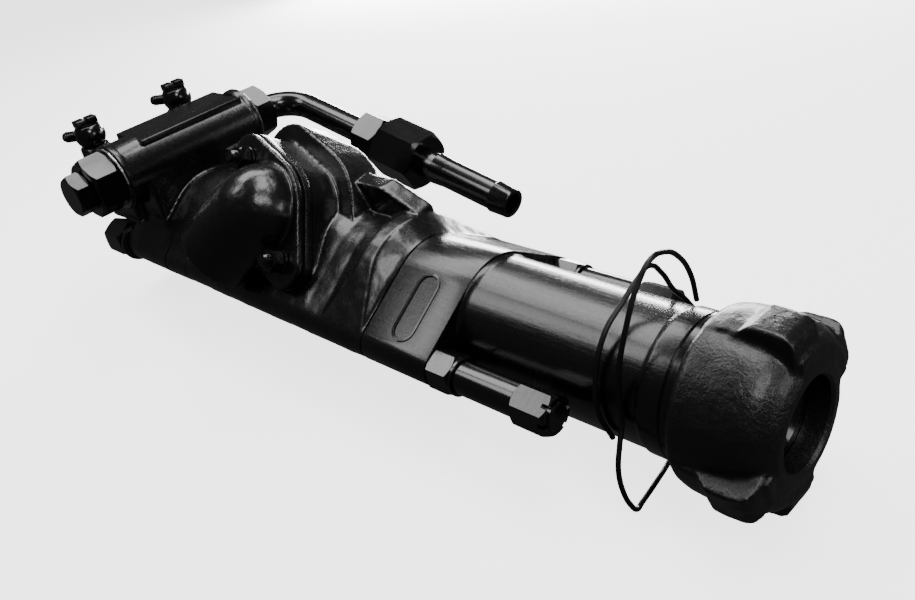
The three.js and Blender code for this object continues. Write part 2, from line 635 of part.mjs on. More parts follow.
function addSideRod(tool, side, name) {
  const group = new THREE.Group();
  group.position.y = side * rods.spacing;
  tool.add(group);
  const r = rods;
  const bored = (body, x0, x1) => cut(body, solid(rod(x0 - 1, x1 + 1, r.radius + gap)));
  const rearFace = xBackhead - backhead.bossLength;
  const frontEnd = xFlange + r.frontReach;
  part(group, "side_rod_" + name, rod(rearFace - r.rearReach, frontEnd - 3, r.radius), paintedSteel);
  let x = xFlange + gap;
  const nut = hexBar(r.collarNut.flats, x, x + r.collarNut.length);
  part(group, "collar_nut_" + name, bored(nut, x, x + r.collarNut.length), paintedSteel);
  x += r.collarNut.length + gap;
  const washer = ring(x, x + r.washer.thickness, r.radius + gap, r.washer.radius, 16);
  part(group, "rod_washer_" + name, washer, paintedSteel);
  x += r.washer.thickness + gap;
  const sleeve = ring(x, x + r.sleeve.length, r.radius + gap, r.sleeve.radius, 16);
  part(group, "rod_sleeve_" + name, sleeve, paintedSteel);
  x += r.sleeve.length + gap;
  part(group, "castle_nut_" + name, castleNut(x + r.castleNut.length), paintedSteel);
  x = rearFace - gap;
  part(group, "ball_washer_" + name, turned([
    [x, r.radius + gap], [x - r.ballWasher.thickness, r.radius + gap],
    [x - r.ballWasher.thickness, r.ballWasher.radius - 4],
    [x - r.ballWasher.thickness + 3, r.ballWasher.radius - 1],
    [x - 4, r.ballWasher.radius], [x, r.ballWasher.radius - 2],
  ], 16), paintedSteel);
  x -= r.ballWasher.thickness + gap;
  const rearNut = hexBar(r.rearNut.flats, x - r.rearNut.length, x);
  part(group, "rear_nut_" + name, bored(rearNut, x - r.rearNut.length, x), paintedSteel);
}

// Exhaust: gasket, spacer and hood on two studs

// A half barrel with one round end, open at its far end, which stands for the hood's outside or inside.
function halfTunnel(width, height, reach) {
  const dome = new THREE.SphereGeometry(width, 16, 8).scale(1, 1, height / width);
  const tunnel = rod(0, reach, width, 16).scale(1, 1, height / width);
  const keep = box(-200, 400, -200, 200, 0, 200);
  return join(solid(dome), solid(tunnel)).intersect(solid(keep));
}

function alongHood(body, lift) {
  return geometryOf(body).rotateZ(rad(hood.direction)).translate(0, 0, lift);
}

function hoodShell() {
  const h = hood;
  const base = exhaust.faceHeight + exhaustStack.gasket + exhaustStack.spacer + 3 * gap;
  const top = base + exhaustStack.plate;
  const flat = solid(exhaustPlate(base, exhaustStack.plate));
  const outer = solid(alongHood(halfTunnel(h.halfWidth, h.height, h.reach), top - 1));
  const inner = solid(alongHood(
    halfTunnel(h.halfWidth - h.wall, h.height - h.wall, h.reach + 10), top - 1.5,
  ));
  const portHole = solid(upright(base - 1, top + 4, exhaust.portRadius));
  const studHoles = [-1, 1].map((end) =>
    solid(studAt(upright(base - 1, top + 60, hoodStud.radius + gap, 16), end)));
  const nutRoom = [-1, 1].map((end) =>
    solid(studAt(upright(top, top + 60, hoodWasher.radius + 0.8, 16), end)));
  return cut(join(flat, outer), inner, portHole, ...studHoles, ...nutRoom);
}

function addExhaust(tool) {
  const group = exhaustGroup();
  tool.add(group);
  const holes = (z0, z1) => [
    solid(upright(z0, z1, exhaust.portRadius)),
    ...[-1, 1].map((end) => solid(studAt(upright(z0, z1, hoodStud.radius + gap, 10), end))),
  ];
  let z = exhaust.faceHeight + gap;
  const seal = solid(exhaustPlate(z, exhaustStack.gasket, -1));
  part(group, "exhaust_gasket", cut(seal, ...holes(z - 1, z + 3)), gasketSheet);
  z += exhaustStack.gasket + gap;
  const spacer = solid(exhaustPlate(z, exhaustStack.spacer, 1));
  part(group, "exhaust_spacer", cut(spacer, ...holes(z - 1, z + 9)), paintedCasting);
  part(group, "exhaust_hood", hoodShell(), paintedCasting);
  const plateTop = z + exhaustStack.spacer + gap + exhaustStack.plate;
  [["front", 1], ["rear", -1]].forEach(([name, end]) => {
    const foot = exhaust.faceHeight - hoodStud.root + gap;
    const stud = upright(foot, plateTop + hoodStud.proud, hoodStud.radius, 12);
    part(group, "hood_stud_" + name, studAt(stud, end), paintedSteel);
    const w0 = plateTop + gap;
    const washer = ring(
      w0, w0 + hoodWasher.thickness, hoodStud.radius + gap, hoodWasher.radius, 16,
    ).rotateY(-Math.PI / 2);
    part(group, "hood_washer_" + name, studAt(washer, end), paintedSteel);
    const n0 = w0 + hoodWasher.thickness + gap;
    const nut = cut(
      hexBar(hoodNut.flats, n0, n0 + hoodNut.length, 1.2),
      solid(rod(n0 - 1, n0 + hoodNut.length + 1, hoodStud.radius + gap, 16)),
    );
    const standing = geometryOf(nut).rotateY(-Math.PI / 2);
    part(group, "hood_nut_" + name, studAt(standing, end), paintedSteel);
  });
}

// Intake: everything in or on the cross tube; the group's local X runs along the world +Y

function coil(spring, y0, y1) {
  const points = [];
  const steps = spring.turns * 8;
  for (let i = 0; i <= steps; i++) {
    const a = (i / steps) * spring.turns * 2 * Math.PI;
    const x = y0 + spring.wire / 2 + ((y1 - y0 - spring.wire) * i) / steps;
    points.push(new THREE.Vector3(x, spring.radius * Math.cos(a), spring.radius * Math.sin(a)));
  }
  const section = new THREE.Shape();
  section.absarc(0, 0, spring.wire / 2, 0, 2 * Math.PI, false);
  return new THREE.ExtrudeGeometry(section, {
    steps, extrudePath: new THREE.CatmullRomCurve3(points), curveSegments: 2, bevelEnabled: false,
  });
}

function addIntake(tool) {
  const group = new THREE.Group();
  group.position.set(xThrottle, 0, throttle.height);
  group.rotation.z = Math.PI / 2;
  tool.add(group);
  const bore = throttle.boreRadius - gap;
  const end = throttle.halfLength + gap;
  const faceAt = end + sealRing.thickness + gap;
  const bigHex = hexBar(largePlug.flats, -faceAt - largePlug.length, -faceAt, 3);
  const plugEnd = -faceAt + largePlug.shankLength;
  const plug = cut(
    join(bigHex, solid(rod(-faceAt - 1, plugEnd, bore))),
    solid(rod(
      -faceAt - largePlug.length - 1, -faceAt - largePlug.length + smallPlug.shankLength + 1,
      smallPlug.shankRadius + gap,
    )),
  );
  part(group, "throttle_plug", plug, paintedSteel);
  const plugSeal = ring(-end - sealRing.thickness, -end, bore + gap, sealRing.radius);
  part(group, "plug_seal", plugSeal, bareSteel);
  const smallFace = -faceAt - largePlug.length - gap;
  part(group, "adjuster_plug", join(
    hexBar(smallPlug.flats, smallFace - smallPlug.length, smallFace, 2.5),
    solid(rod(smallFace - 1, smallFace + smallPlug.shankLength, smallPlug.shankRadius)),
  ), paintedSteel);
  const seatFace = poppet.seatAt;
  const poppetFace = seatFace - gap;
  part(group, "throttle_poppet", turned([
    [poppetFace - poppet.length, poppet.radius - poppet.wall],
    [poppetFace - poppet.length, poppet.radius], [poppetFace - 5, poppet.radius],
    [poppetFace, poppet.radius - 5], [poppetFace, 0], [poppetFace - poppet.wall - 2, 0],
    [poppetFace - poppet.wall - 2, poppet.radius - poppet.wall],
  ]), bronze);
  const spring = coil(poppetSpring, plugEnd + gap, poppetFace - poppet.wall - 2 - gap);
  part(group, "throttle_spring", spring, bareSteel);
  const seat = ring(seatFace, seatFace + poppet.seatLength, poppet.seatHole, bore);
  part(group, "poppet_seat", seat, bronze);
  const nutShank = faceAt - swivelNut.shankLength;
  const nutEnd = faceAt + swivelNut.length;
  const nut = cut(
    join(hexBar(swivelNut.flats, faceAt, nutEnd, 3),
      solid(rod(nutShank, faceAt + 1, bore))),
    solid(rod(nutShank - 1, nutEnd + 1, gooseneck.pipeRadius + swivelNut.clearance)),
  );
  part(group, "swivel_nut", nut, paintedSteel);
  const swivelSeal = ring(end, end + sealRing.thickness, bore + gap, sealRing.radius);
  part(group, "swivel_seal", swivelSeal, bareSteel);
  const packingEnd = nutShank - gap;
  const packing = ring(packingEnd - 6, packingEnd, gooseneck.boreRadius, bore);
  part(group, "swivel_packing", packing, rubber);
  addGooseneck(tool, nutShank + gap);
}

// The bent pipe and its hose union; the group's local X runs along the hose end
function addGooseneck(tool, spigotEnd) {
  const g = gooseneck;
  const group = new THREE.Group();
  group.position.set(xThrottle, 0, throttle.height);
  group.rotation.y = rad(g.pitch);
  tool.add(group);
  const route = new THREE.CurvePath();
  const handle = g.bendRadius * 0.5523;
  const [bendStart, side, bend] = [g.sideReach - g.bendRadius, g.sideReach, g.bendRadius];
  route.add(new THREE.LineCurve3(
    new THREE.Vector3(0, spigotEnd, 0), new THREE.Vector3(0, bendStart, 0),
  ));
  route.add(new THREE.CubicBezierCurve3(
    new THREE.Vector3(0, bendStart, 0), new THREE.Vector3(0, bendStart + handle, 0),
    new THREE.Vector3(bend - handle, side, 0), new THREE.Vector3(bend, side, 0),
  ));
  route.add(new THREE.LineCurve3(
    new THREE.Vector3(bend, side, 0), new THREE.Vector3(g.legLength, side, 0),
  ));
  const section = new THREE.Shape();
  section.absarc(0, 0, g.pipeRadius, 0, 2 * Math.PI, false);
  const bore = new THREE.Path();
  bore.absarc(0, 0, g.boreRadius, 0, 2 * Math.PI, true);
  section.holes.push(bore);
  const pipe = new THREE.ExtrudeGeometry(section, {
    steps: 14, extrudePath: route, curveSegments: 6, bevelEnabled: false,
  });
  part(group, "gooseneck_pipe", pipe, paintedSteel);

  const leg = new THREE.Group();
  leg.position.y = g.sideReach;
  group.add(leg);
  const u = unionBody;
  const uEnd = u.start + u.length + u.noseLength;
  const sleeve = g.pipeRadius + gap;
  const body = cut(
    join(hexBar(u.flats, u.start, u.start + u.length, 2.5),
      solid(rod(u.start + u.length - 1, uEnd, u.noseRadius))),
    solid(rod(u.start - 1, g.legLength + gap, sleeve)),
    solid(rod(g.legLength, uEnd + 1, g.boreRadius)),
  );
  part(leg, "union_body", body, paintedSteel);
  const flangeAt = uEnd + gap;
  const flangeEnd = flangeAt + nipple.flange;
  const profile = [
    [flangeAt, g.boreRadius], [flangeAt, u.noseRadius], [flangeEnd, u.noseRadius],
    [flangeEnd, nipple.radius],
  ];
  const nutEnd = u.start + u.length + 2 + unionNut.length;
  const firstBarb = nutEnd + 14;
  const pitch = (nipple.reach - 4 - firstBarb) / nipple.steps;
  for (let i = 0; i < nipple.steps; i++) {
    const x = firstBarb + pitch * i;
    profile.push([x, nipple.radius], [x, nipple.barbRadius], [x + pitch * 0.8, nipple.radius]);
  }
  profile.push(
    [nipple.reach - 1.5, nipple.radius], [nipple.reach, nipple.radius - 1.5],
    [nipple.reach, g.boreRadius],
  );
  part(leg, "hose_nipple", turned(profile), paintedSteel);
  const nutStart = u.start + u.length + 2;
  const nut = cut(
    hexBar(unionNut.flats, nutStart, nutEnd, 3).rotate([30, 0, 0]),
    solid(rod(nutStart - 1, nutEnd - unionNut.wall, u.noseRadius + gap)),
    solid(rod(nutStart, nutEnd + 1, nipple.radius + gap)),
  );
  part(leg, "union_nut", nut, paintedSteel);
  const s0 = flangeEnd + 4;
  part(leg, "inlet_strainer", turned([
    [s0 - strainer.wall, 0], [s0 - strainer.wall, g.boreRadius - gap],
    [s0 + strainer.length, g.boreRadius - gap],
    [s0 + strainer.length, g.boreRadius - gap - strainer.wall],
    [s0, g.boreRadius - gap - strainer.wall], [s0, 0],
  ], 20), bronze);
}

// Swing bolts: each has a round eye on an upright pin at the back of the casting

const swingTop = swingLug.eyeHeight - swingLug.eyeThickness / 2 - gap;

function addSwingBolt(tool, side, name) {
  const s = swingLug;
  const group = new THREE.Group();
  group.position.set(xThrottle - s.behind, side * s.side, s.eyeHeight);
  tool.add(group);
  const pinHole = upright(-40, 40, s.pinRadius + gap, 12);
  const ball = new THREE.SphereGeometry(s.eyeRadius, 14, 10);
  const half = s.eyeThickness / 2;
  const slab = box(-60, 60, -60, 60, -half, half);
  const eye = solid(ball).intersect(solid(slab));
  const stud = rod(0, s.studReach, s.studRadius, 12);
  const bolt = new THREE.Group();
  bolt.rotation.z = rad(s.yaw);
  group.add(bolt);
  part(bolt, "swing_bolt_" + name, cut(join(eye, solid(stud)), solid(pinHole)), paintedSteel);
  const headBase = half + gap;
  const slot = box(-s.headLength, s.headLength, -1.4, 1.4, headBase + s.headHeight - 3, 40);
  const pinHead = cut(
    solid(box(
      -s.headWidth / 2, s.headWidth / 2, -s.headLength / 2, s.headLength / 2,
      headBase, headBase + s.headHeight,
    )),
    solid(slot),
  );
  const pin = upright(-half - 14, headBase + 1, s.pinRadius, 12);
  part(group, "swing_pin_" + name, join(pinHead, solid(pin)), paintedSteel);
}

// Lock wire: a loose double turn of stiff spring wire, as [x, angle from +Y in degrees, radius]
const wireRoute = [
  [-85, 44, 47], [-85, 61, 60], [-85, 75, 72], [-84, 88, 81], [-84, 96, 83], [-85, 104, 77],
  [-85, 123, 63], [-86, 145, 52], [-86, 164, 46], [-85, 182, 46], [-83, 193, 54], [-81, 202, 63],
  [-79, 213, 70.5], [-77, 222, 75.5], [-76, 227, 76.8], [-77, 231, 73], [-79, 244, 62],
  [-82, 260, 56.5], [-86, 285, 52], [-89, 315, 47], [-91, 345, 46], [-92, 375, 46],
  [-93, 400, 46], [-96, 416, 49], [-99, 428, 58], [-101, 438, 64], [-102, 446, 60],
  [-103, 462, 53], [-104, 485, 50], [-103, 517, 46], [-101, 540, 46], [-97, 568, 46],
];

function lockWireSolid() {
  const points = wireRoute.map(([x, angle, radius]) =>
    new THREE.Vector3(x, radius * Math.cos(rad(angle)), radius * Math.sin(rad(angle))));
  const section = new THREE.Shape();
  section.absarc(0, 0, lockWire.radius, 0, 2 * Math.PI, false);
  return new THREE.ExtrudeGeometry(section, {
    steps: 70, extrudePath: new THREE.CatmullRomCurve3(points), curveSegments: 3,
    bevelEnabled: false,
  });
}

// The whole tool

const tool = new THREE.Group();
addFrontEnd(tool);
addCastings(tool);
addPercussion(tool);
addSideRod(tool, -1, "left");
addSideRod(tool, 1, "right");
addExhaust(tool);
addIntake(tool);
addSwingBolt(tool, -1, "left");
addSwingBolt(tool, 1, "right");
part(tool, "lock_wire", lockWireSolid(), paintedSteel);

const whole = new THREE.Group();
whole.add(tool);
whole.updateMatrixWorld(true);
const bounds = new THREE.Box3().setFromObject(tool, true);
const middle = bounds.getCenter(new THREE.Vector3());
tool.position.set(-middle.x, -middle.y, -bounds.min.z);

export default whole;
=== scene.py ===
import bpy
import json
import math
from mathutils import Matrix, Vector


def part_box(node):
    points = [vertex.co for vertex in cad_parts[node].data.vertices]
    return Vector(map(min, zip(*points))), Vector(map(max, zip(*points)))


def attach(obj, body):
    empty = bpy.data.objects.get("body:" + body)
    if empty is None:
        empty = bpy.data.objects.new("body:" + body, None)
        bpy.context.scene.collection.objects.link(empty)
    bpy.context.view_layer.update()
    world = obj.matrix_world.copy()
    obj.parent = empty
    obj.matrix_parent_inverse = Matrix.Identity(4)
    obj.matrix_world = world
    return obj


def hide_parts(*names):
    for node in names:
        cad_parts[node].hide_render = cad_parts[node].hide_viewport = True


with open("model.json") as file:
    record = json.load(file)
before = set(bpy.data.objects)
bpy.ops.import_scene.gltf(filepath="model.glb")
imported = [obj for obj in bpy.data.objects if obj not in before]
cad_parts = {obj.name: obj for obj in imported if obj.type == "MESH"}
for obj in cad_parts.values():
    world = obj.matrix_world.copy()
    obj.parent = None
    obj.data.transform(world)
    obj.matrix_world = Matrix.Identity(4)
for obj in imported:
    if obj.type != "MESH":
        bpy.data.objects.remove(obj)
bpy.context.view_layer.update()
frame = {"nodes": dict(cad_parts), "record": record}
print("frame loaded")

# Lengths below are millimetres in the tool's own axes: x = 0 is the cap's face and +X points out of
# it, the barrel axis is y = z = 0. placePiece() turns a finished shape into metres where the CAD is.
rodLow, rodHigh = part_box("side_rod_left")
farLow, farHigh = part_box("side_rod_right")
toolOrigin = Vector((
    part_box("front_cap")[1].x,
    (rodLow.y + rodHigh.y + farLow.y + farHigh.y) / 4,
    (rodLow.z + rodHigh.z) / 2,
))
toolFrame = Matrix.Translation(toolOrigin) @ Matrix.Scale(0.001, 4)
bodyOf = {n: b for b, ns in frame["record"]["behaviour"]["bodies"].items() for n in ns}
slotOf = {s["node"]: s["material_slot"] for s in frame["record"]["subparts"]}
coarse = 1
standUp = Matrix.Rotation(math.radians(-90), 4, "Y")  # from along X to along Z


def deselect():
    if bpy.context.mode != "OBJECT":
        bpy.ops.object.mode_set(mode="OBJECT")
    bpy.ops.object.select_all(action="DESELECT")


def pick(*things):
    deselect()
    for thing in things:
        thing.select_set(True)
    bpy.context.view_layer.objects.active = things[0]
    return things[0]


def settle(thing):
    # writes place, turn and size into the mesh
    pick(thing)
    bpy.ops.object.transform_apply(location=True, rotation=True, scale=True)
    return thing


def putAt(thing, matrix):
    thing.matrix_world = matrix @ thing.matrix_world
    return settle(thing)


def shapedBy(thing, kind, **settings):
    # adds one modifier, sets it and applies it
    pick(thing)
    bpy.ops.object.modifier_add(type=kind)
    modifier = thing.modifiers[-1]
    for key, value in settings.items():
        setattr(modifier, key, value)
    bpy.ops.object.modifier_apply(modifier=modifier.name)
    return thing


def combine(thing, operation, tools):
    for tool in tools:
        shapedBy(thing, "BOOLEAN", operation=operation, solver="EXACT", object=tool)
        bpy.data.objects.remove(tool)
    return thing


def cutAway(thing, *tools):
    return combine(thing, "DIFFERENCE", tools)


def weld(thing, *tools):
    return combine(thing, "UNION", tools)


def together(*things):
    # one object out of several, still separate shells
    pick(*things)
    bpy.ops.object.join()
    return things[0]


def softEdges(thing, width, segments=2, angle=30):
    return shapedBy(
        thing, "BEVEL", width=width, segments=segments, limit_method="ANGLE",
        angle_limit=math.radians(angle), harden_normals=False,
    )


def turned(profile, sides=96):
    # a lathe shape about the X axis; a profile that returns to its start makes a ring
    closed = profile[0] == profile[-1]
    x0, r0 = profile[0]
    deselect()
    bpy.ops.mesh.primitive_circle_add(
        vertices=sides, radius=r0, fill_type="NOTHING" if closed else "NGON",
        location=(x0, 0, 0), rotation=(0, math.pi / 2, 0),
    )
    shape = settle(bpy.context.object)
    bpy.ops.object.mode_set(mode="EDIT")
    bpy.ops.mesh.select_all(action="SELECT")
    for (xa, ra), (xb, rb) in zip(profile, profile[1:]):
        bpy.ops.mesh.extrude_region_move(TRANSFORM_OT_translate={"value": (xb - xa, 0, 0)})
        if ra != rb:
            bpy.ops.transform.resize(value=(1, rb / ra, rb / ra), center_override=(xb, 0, 0))
    bpy.ops.mesh.select_all(action="SELECT")
    bpy.ops.mesh.remove_doubles(threshold=0.001)
    bpy.ops.mesh.normals_make_consistent(inside=False)
    bpy.ops.object.mode_set(mode="OBJECT")
    return shape


def ring(x0, x1, inner, outer, edge=0.4, sides=96):
    # a washer or sleeve with its outer corners broken
    return turned([
        (x0, inner), (x0, outer - edge), (x0 + edge, outer), (x1 - edge, outer),
        (x1, outer - edge), (x1, inner), (x0, inner),
    ], sides)


def bar(x0, x1, radius, y=0, z=0, sides=64):
    deselect()
    bpy.ops.mesh.primitive_cylinder_add(
        vertices=sides, radius=radius, depth=x1 - x0,
        location=((x0 + x1) / 2, y, z), rotation=(0, math.pi / 2, 0),
    )
    return settle(bpy.context.object)


def block(x0, x1, y0, y1, z0, z1, edge=0):
    deselect()
    bpy.ops.mesh.primitive_cube_add(
        size=1, location=((x0 + x1) / 2, (y0 + y1) / 2, (z0 + z1) / 2),
        scale=(x1 - x0, y1 - y0, z1 - z0),
    )
    cube = settle(bpy.context.object)
    return softEdges(cube, edge, 3) if edge else cube


def hull(*things):
    shell = together(*things)
    bpy.ops.object.mode_set(mode="EDIT")
    bpy.ops.mesh.select_all(action="SELECT")
    bpy.ops.mesh.convex_hull(join_triangles=True)
    bpy.ops.mesh.select_all(action="SELECT")
    bpy.ops.mesh.normals_make_consistent(inside=False)
    bpy.ops.object.mode_set(mode="OBJECT")
    return shell


def earedBlock(stations, earRadius, spacing, edge=0, sides=64):
    # three circles in a row with straight tangents, carried along X; stations are (x, radius)
    thin = 0.01
    pieces = []
    for (xa, ra), (xb, rb) in zip(stations, stations[1:]):
        discs = []
        for x, r in ((xa, ra), (xb - thin, rb)):
            discs += [bar(x, x + thin, r, 0, 0, sides)]
            discs += [bar(x, x + thin, earRadius, s * spacing, 0, 32) for s in (-1, 1)]
        pieces.append(hull(*discs))
    shape = together(*pieces) if len(pieces) > 1 else pieces[0]
    return softEdges(shape, edge, 3, 60) if edge else shape


def hexBar(flats, x0, x1, chamfer=1.8, edge=0.45, turn=30):
    corner = flats / math.sqrt(3)
    shape = putAt(bar(x0, x1, corner, sides=6), Matrix.Rotation(math.radians(turn), 4, "X"))
    face = flats / 2 - 0.4
    blank = turned([
        (x0, face), (x0 + chamfer, corner + 0.1), (x1 - chamfer, corner + 0.1), (x1, face),
    ], 72)
    combine(shape, "INTERSECT", [blank])
    return softEdges(shape, edge, 2, 25)


def castSkin(thing, voxel, passes):
    # melts separate shells into one casting and rounds its corners
    shapedBy(thing, "REMESH", mode="VOXEL", voxel_size=voxel * coarse, adaptivity=0)
    return shapedBy(thing, "SMOOTH", factor=0.5, iterations=max(1, passes // coarse))


def unevenness(thing, size, depth):
    # the slow waviness of a sand mould
    clouds = bpy.data.textures.new("mouldWaves", type="CLOUDS")
    clouds.noise_scale = size
    clouds.noise_depth = 2
    return shapedBy(
        thing, "DISPLACE", texture=clouds, strength=depth, mid_level=0.5, texture_coords="LOCAL",
    )


# finishes: small groups feed one Principled shader per finish

def nodeGroup(name, inputs, outputs):
    group = bpy.data.node_groups.new(name, "ShaderNodeTree")
    for label, value in inputs:
        socket = group.interface.new_socket(label, in_out="INPUT", socket_type="NodeSocketFloat")
        socket.default_value = value
    for label in outputs:
        group.interface.new_socket(label, in_out="OUTPUT", socket_type="NodeSocketFloat")
    return group, group.nodes.new("NodeGroupInput"), group.nodes.new("NodeGroupOutput")


def mathNode(tree, operation, a, b=None):
    node = tree.nodes.new("ShaderNodeMath")
    node.operation = operation
    for socket, value in zip(node.inputs, (a, b)):
        if value is None:
            continue
        if isinstance(value, (int, float)):
            socket.default_value = value
        else:
            tree.links.new(value, socket)
    return node.outputs[0]


def noiseNode(tree, vector, scale, detail=3, roughness=0.55):
    node = tree.nodes.new("ShaderNodeTexNoise")
    node.inputs["Detail"].default_value = detail
    node.inputs["Roughness"].default_value = roughness
    tree.links.new(vector, node.inputs["Vector"])
    if isinstance(scale, (int, float)):
        node.inputs["Scale"].default_value = scale
    else:
        tree.links.new(scale, node.inputs["Scale"])
    return node.outputs["Fac"]


def paintSkinGroup():
    # orange peel and slow mottle of thick enamel over a casting
    tree, given, out = nodeGroup(
        "paintSkin", [("Grain", 500), ("Peel", 0.5), ("Mottle", 0.5)], ["Tone", "Rough", "Height"],
    )
    place = tree.nodes.new("ShaderNodeTexCoord").outputs["Object"]
    fine = noiseNode(tree, place, given.outputs["Grain"], 4)
    slow = noiseNode(tree, place, mathNode(tree, "MULTIPLY", given.outputs["Grain"], 0.16), 3)
    spots = noiseNode(tree, place, mathNode(tree, "MULTIPLY", given.outputs["Grain"], 0.6), 2)
    peel = mathNode(tree, "MULTIPLY", fine, given.outputs["Peel"])
    mottle = mathNode(tree, "MULTIPLY", slow, given.outputs["Mottle"])
    tree.links.new(mathNode(tree, "ADD", peel, mottle), out.inputs["Height"])
    tree.links.new(slow, out.inputs["Tone"])
    tree.links.new(spots, out.inputs["Rough"])
    return tree


def dragLinesGroup():
    # faint lines left round the axis by turning, or along it by the brush
    tree, given, out = nodeGroup(
        "dragLines", [("Along", 60), ("Across", 900), ("Strength", 0.5)], ["Height", "Rough"],
    )
    place = tree.nodes.new("ShaderNodeTexCoord").outputs["Object"]
    split = tree.nodes.new("ShaderNodeSeparateXYZ")
    join = tree.nodes.new("ShaderNodeCombineXYZ")
    tree.links.new(place, split.inputs[0])
    tree.links.new(mathNode(tree, "MULTIPLY", split.outputs["X"], given.outputs["Along"]), join.inputs["X"])
    for axis in ("Y", "Z"):
        scaled = mathNode(tree, "MULTIPLY", split.outputs[axis], given.outputs["Across"])
        tree.links.new(scaled, join.inputs[axis])
    lines = noiseNode(tree, join.outputs[0], 1.0, 3)
    tree.links.new(mathNode(tree, "MULTIPLY", lines, given.outputs["Strength"]), out.inputs["Height"])
    tree.links.new(lines, out.inputs["Rough"])
    return tree


def paintedEdgeHighlightGroup():
    # painted highlight: convex corners, picked out by pointiness, are lightened in broken patches to stand
    # for the bright lines that light draws along edges
    tree, given, out = nodeGroup("paintedEdgeHighlight", [("Start", 0.53), ("Gain", 12)], ["Mask"])
    corner = tree.nodes.new("ShaderNodeNewGeometry").outputs["Pointiness"]
    place = tree.nodes.new("ShaderNodeTexCoord").outputs["Object"]
    patches = noiseNode(tree, place, 260, 3)
    over = mathNode(tree, "SUBTRACT", corner, given.outputs["Start"])
    gained = mathNode(tree, "MULTIPLY", over, given.outputs["Gain"])
    broken = mathNode(tree, "MULTIPLY", gained, patches)
    clamp = mathNode(tree, "MINIMUM", mathNode(tree, "MAXIMUM", broken, 0.0), 1.0)
    tree.links.new(clamp, out.inputs["Mask"])
    return tree


def dustFallGroup():
    # specks and a thin film that settle on what faces up
    tree, given, out = nodeGroup("dustFall", [("Amount", 0.1), ("Specks", 900)], ["Mask"])
    split = tree.nodes.new("ShaderNodeSeparateXYZ")
    tree.links.new(tree.nodes.new("ShaderNodeNewGeometry").outputs["Normal"], split.inputs[0])
    place = tree.nodes.new("ShaderNodeTexCoord").outputs["Object"]
    specks = noiseNode(tree, place, given.outputs["Specks"], 2)
    upward = mathNode(tree, "MAXIMUM", split.outputs["Z"], 0.0)
    gathered = mathNode(tree, "MULTIPLY", mathNode(tree, "POWER", specks, 6.0), 8.0)
    film = mathNode(tree, "MULTIPLY", mathNode(tree, "MULTIPLY", gathered, upward), given.outputs["Amount"])
    tree.links.new(mathNode(tree, "MINIMUM", film, 1.0), out.inputs["Mask"])
    return tree


groups = {
    "paintSkin": paintSkinGroup(), "dragLines": dragLinesGroup(),
    "paintedEdgeHighlight": paintedEdgeHighlightGroup(), "dustFall": dustFallGroup(),
}


def place(tree, name, **values):
    node = tree.nodes.new("ShaderNodeGroup")
    node.node_tree = groups[name]
    for key, value in values.items():
        node.inputs[key].default_value = value
    return node


def mixColor(tree, mask, first, second):
    node = tree.nodes.new("ShaderNodeMix")
    node.data_type = "RGBA"
    tree.links.new(mask, node.inputs["Factor"])
    for socket, value in ((node.inputs["A"], first), (node.inputs["B"], second)):
        if isinstance(value, tuple):
            socket.default_value = (*value, 1)
        else:
            tree.links.new(value, socket)
    return node.outputs["Result"]


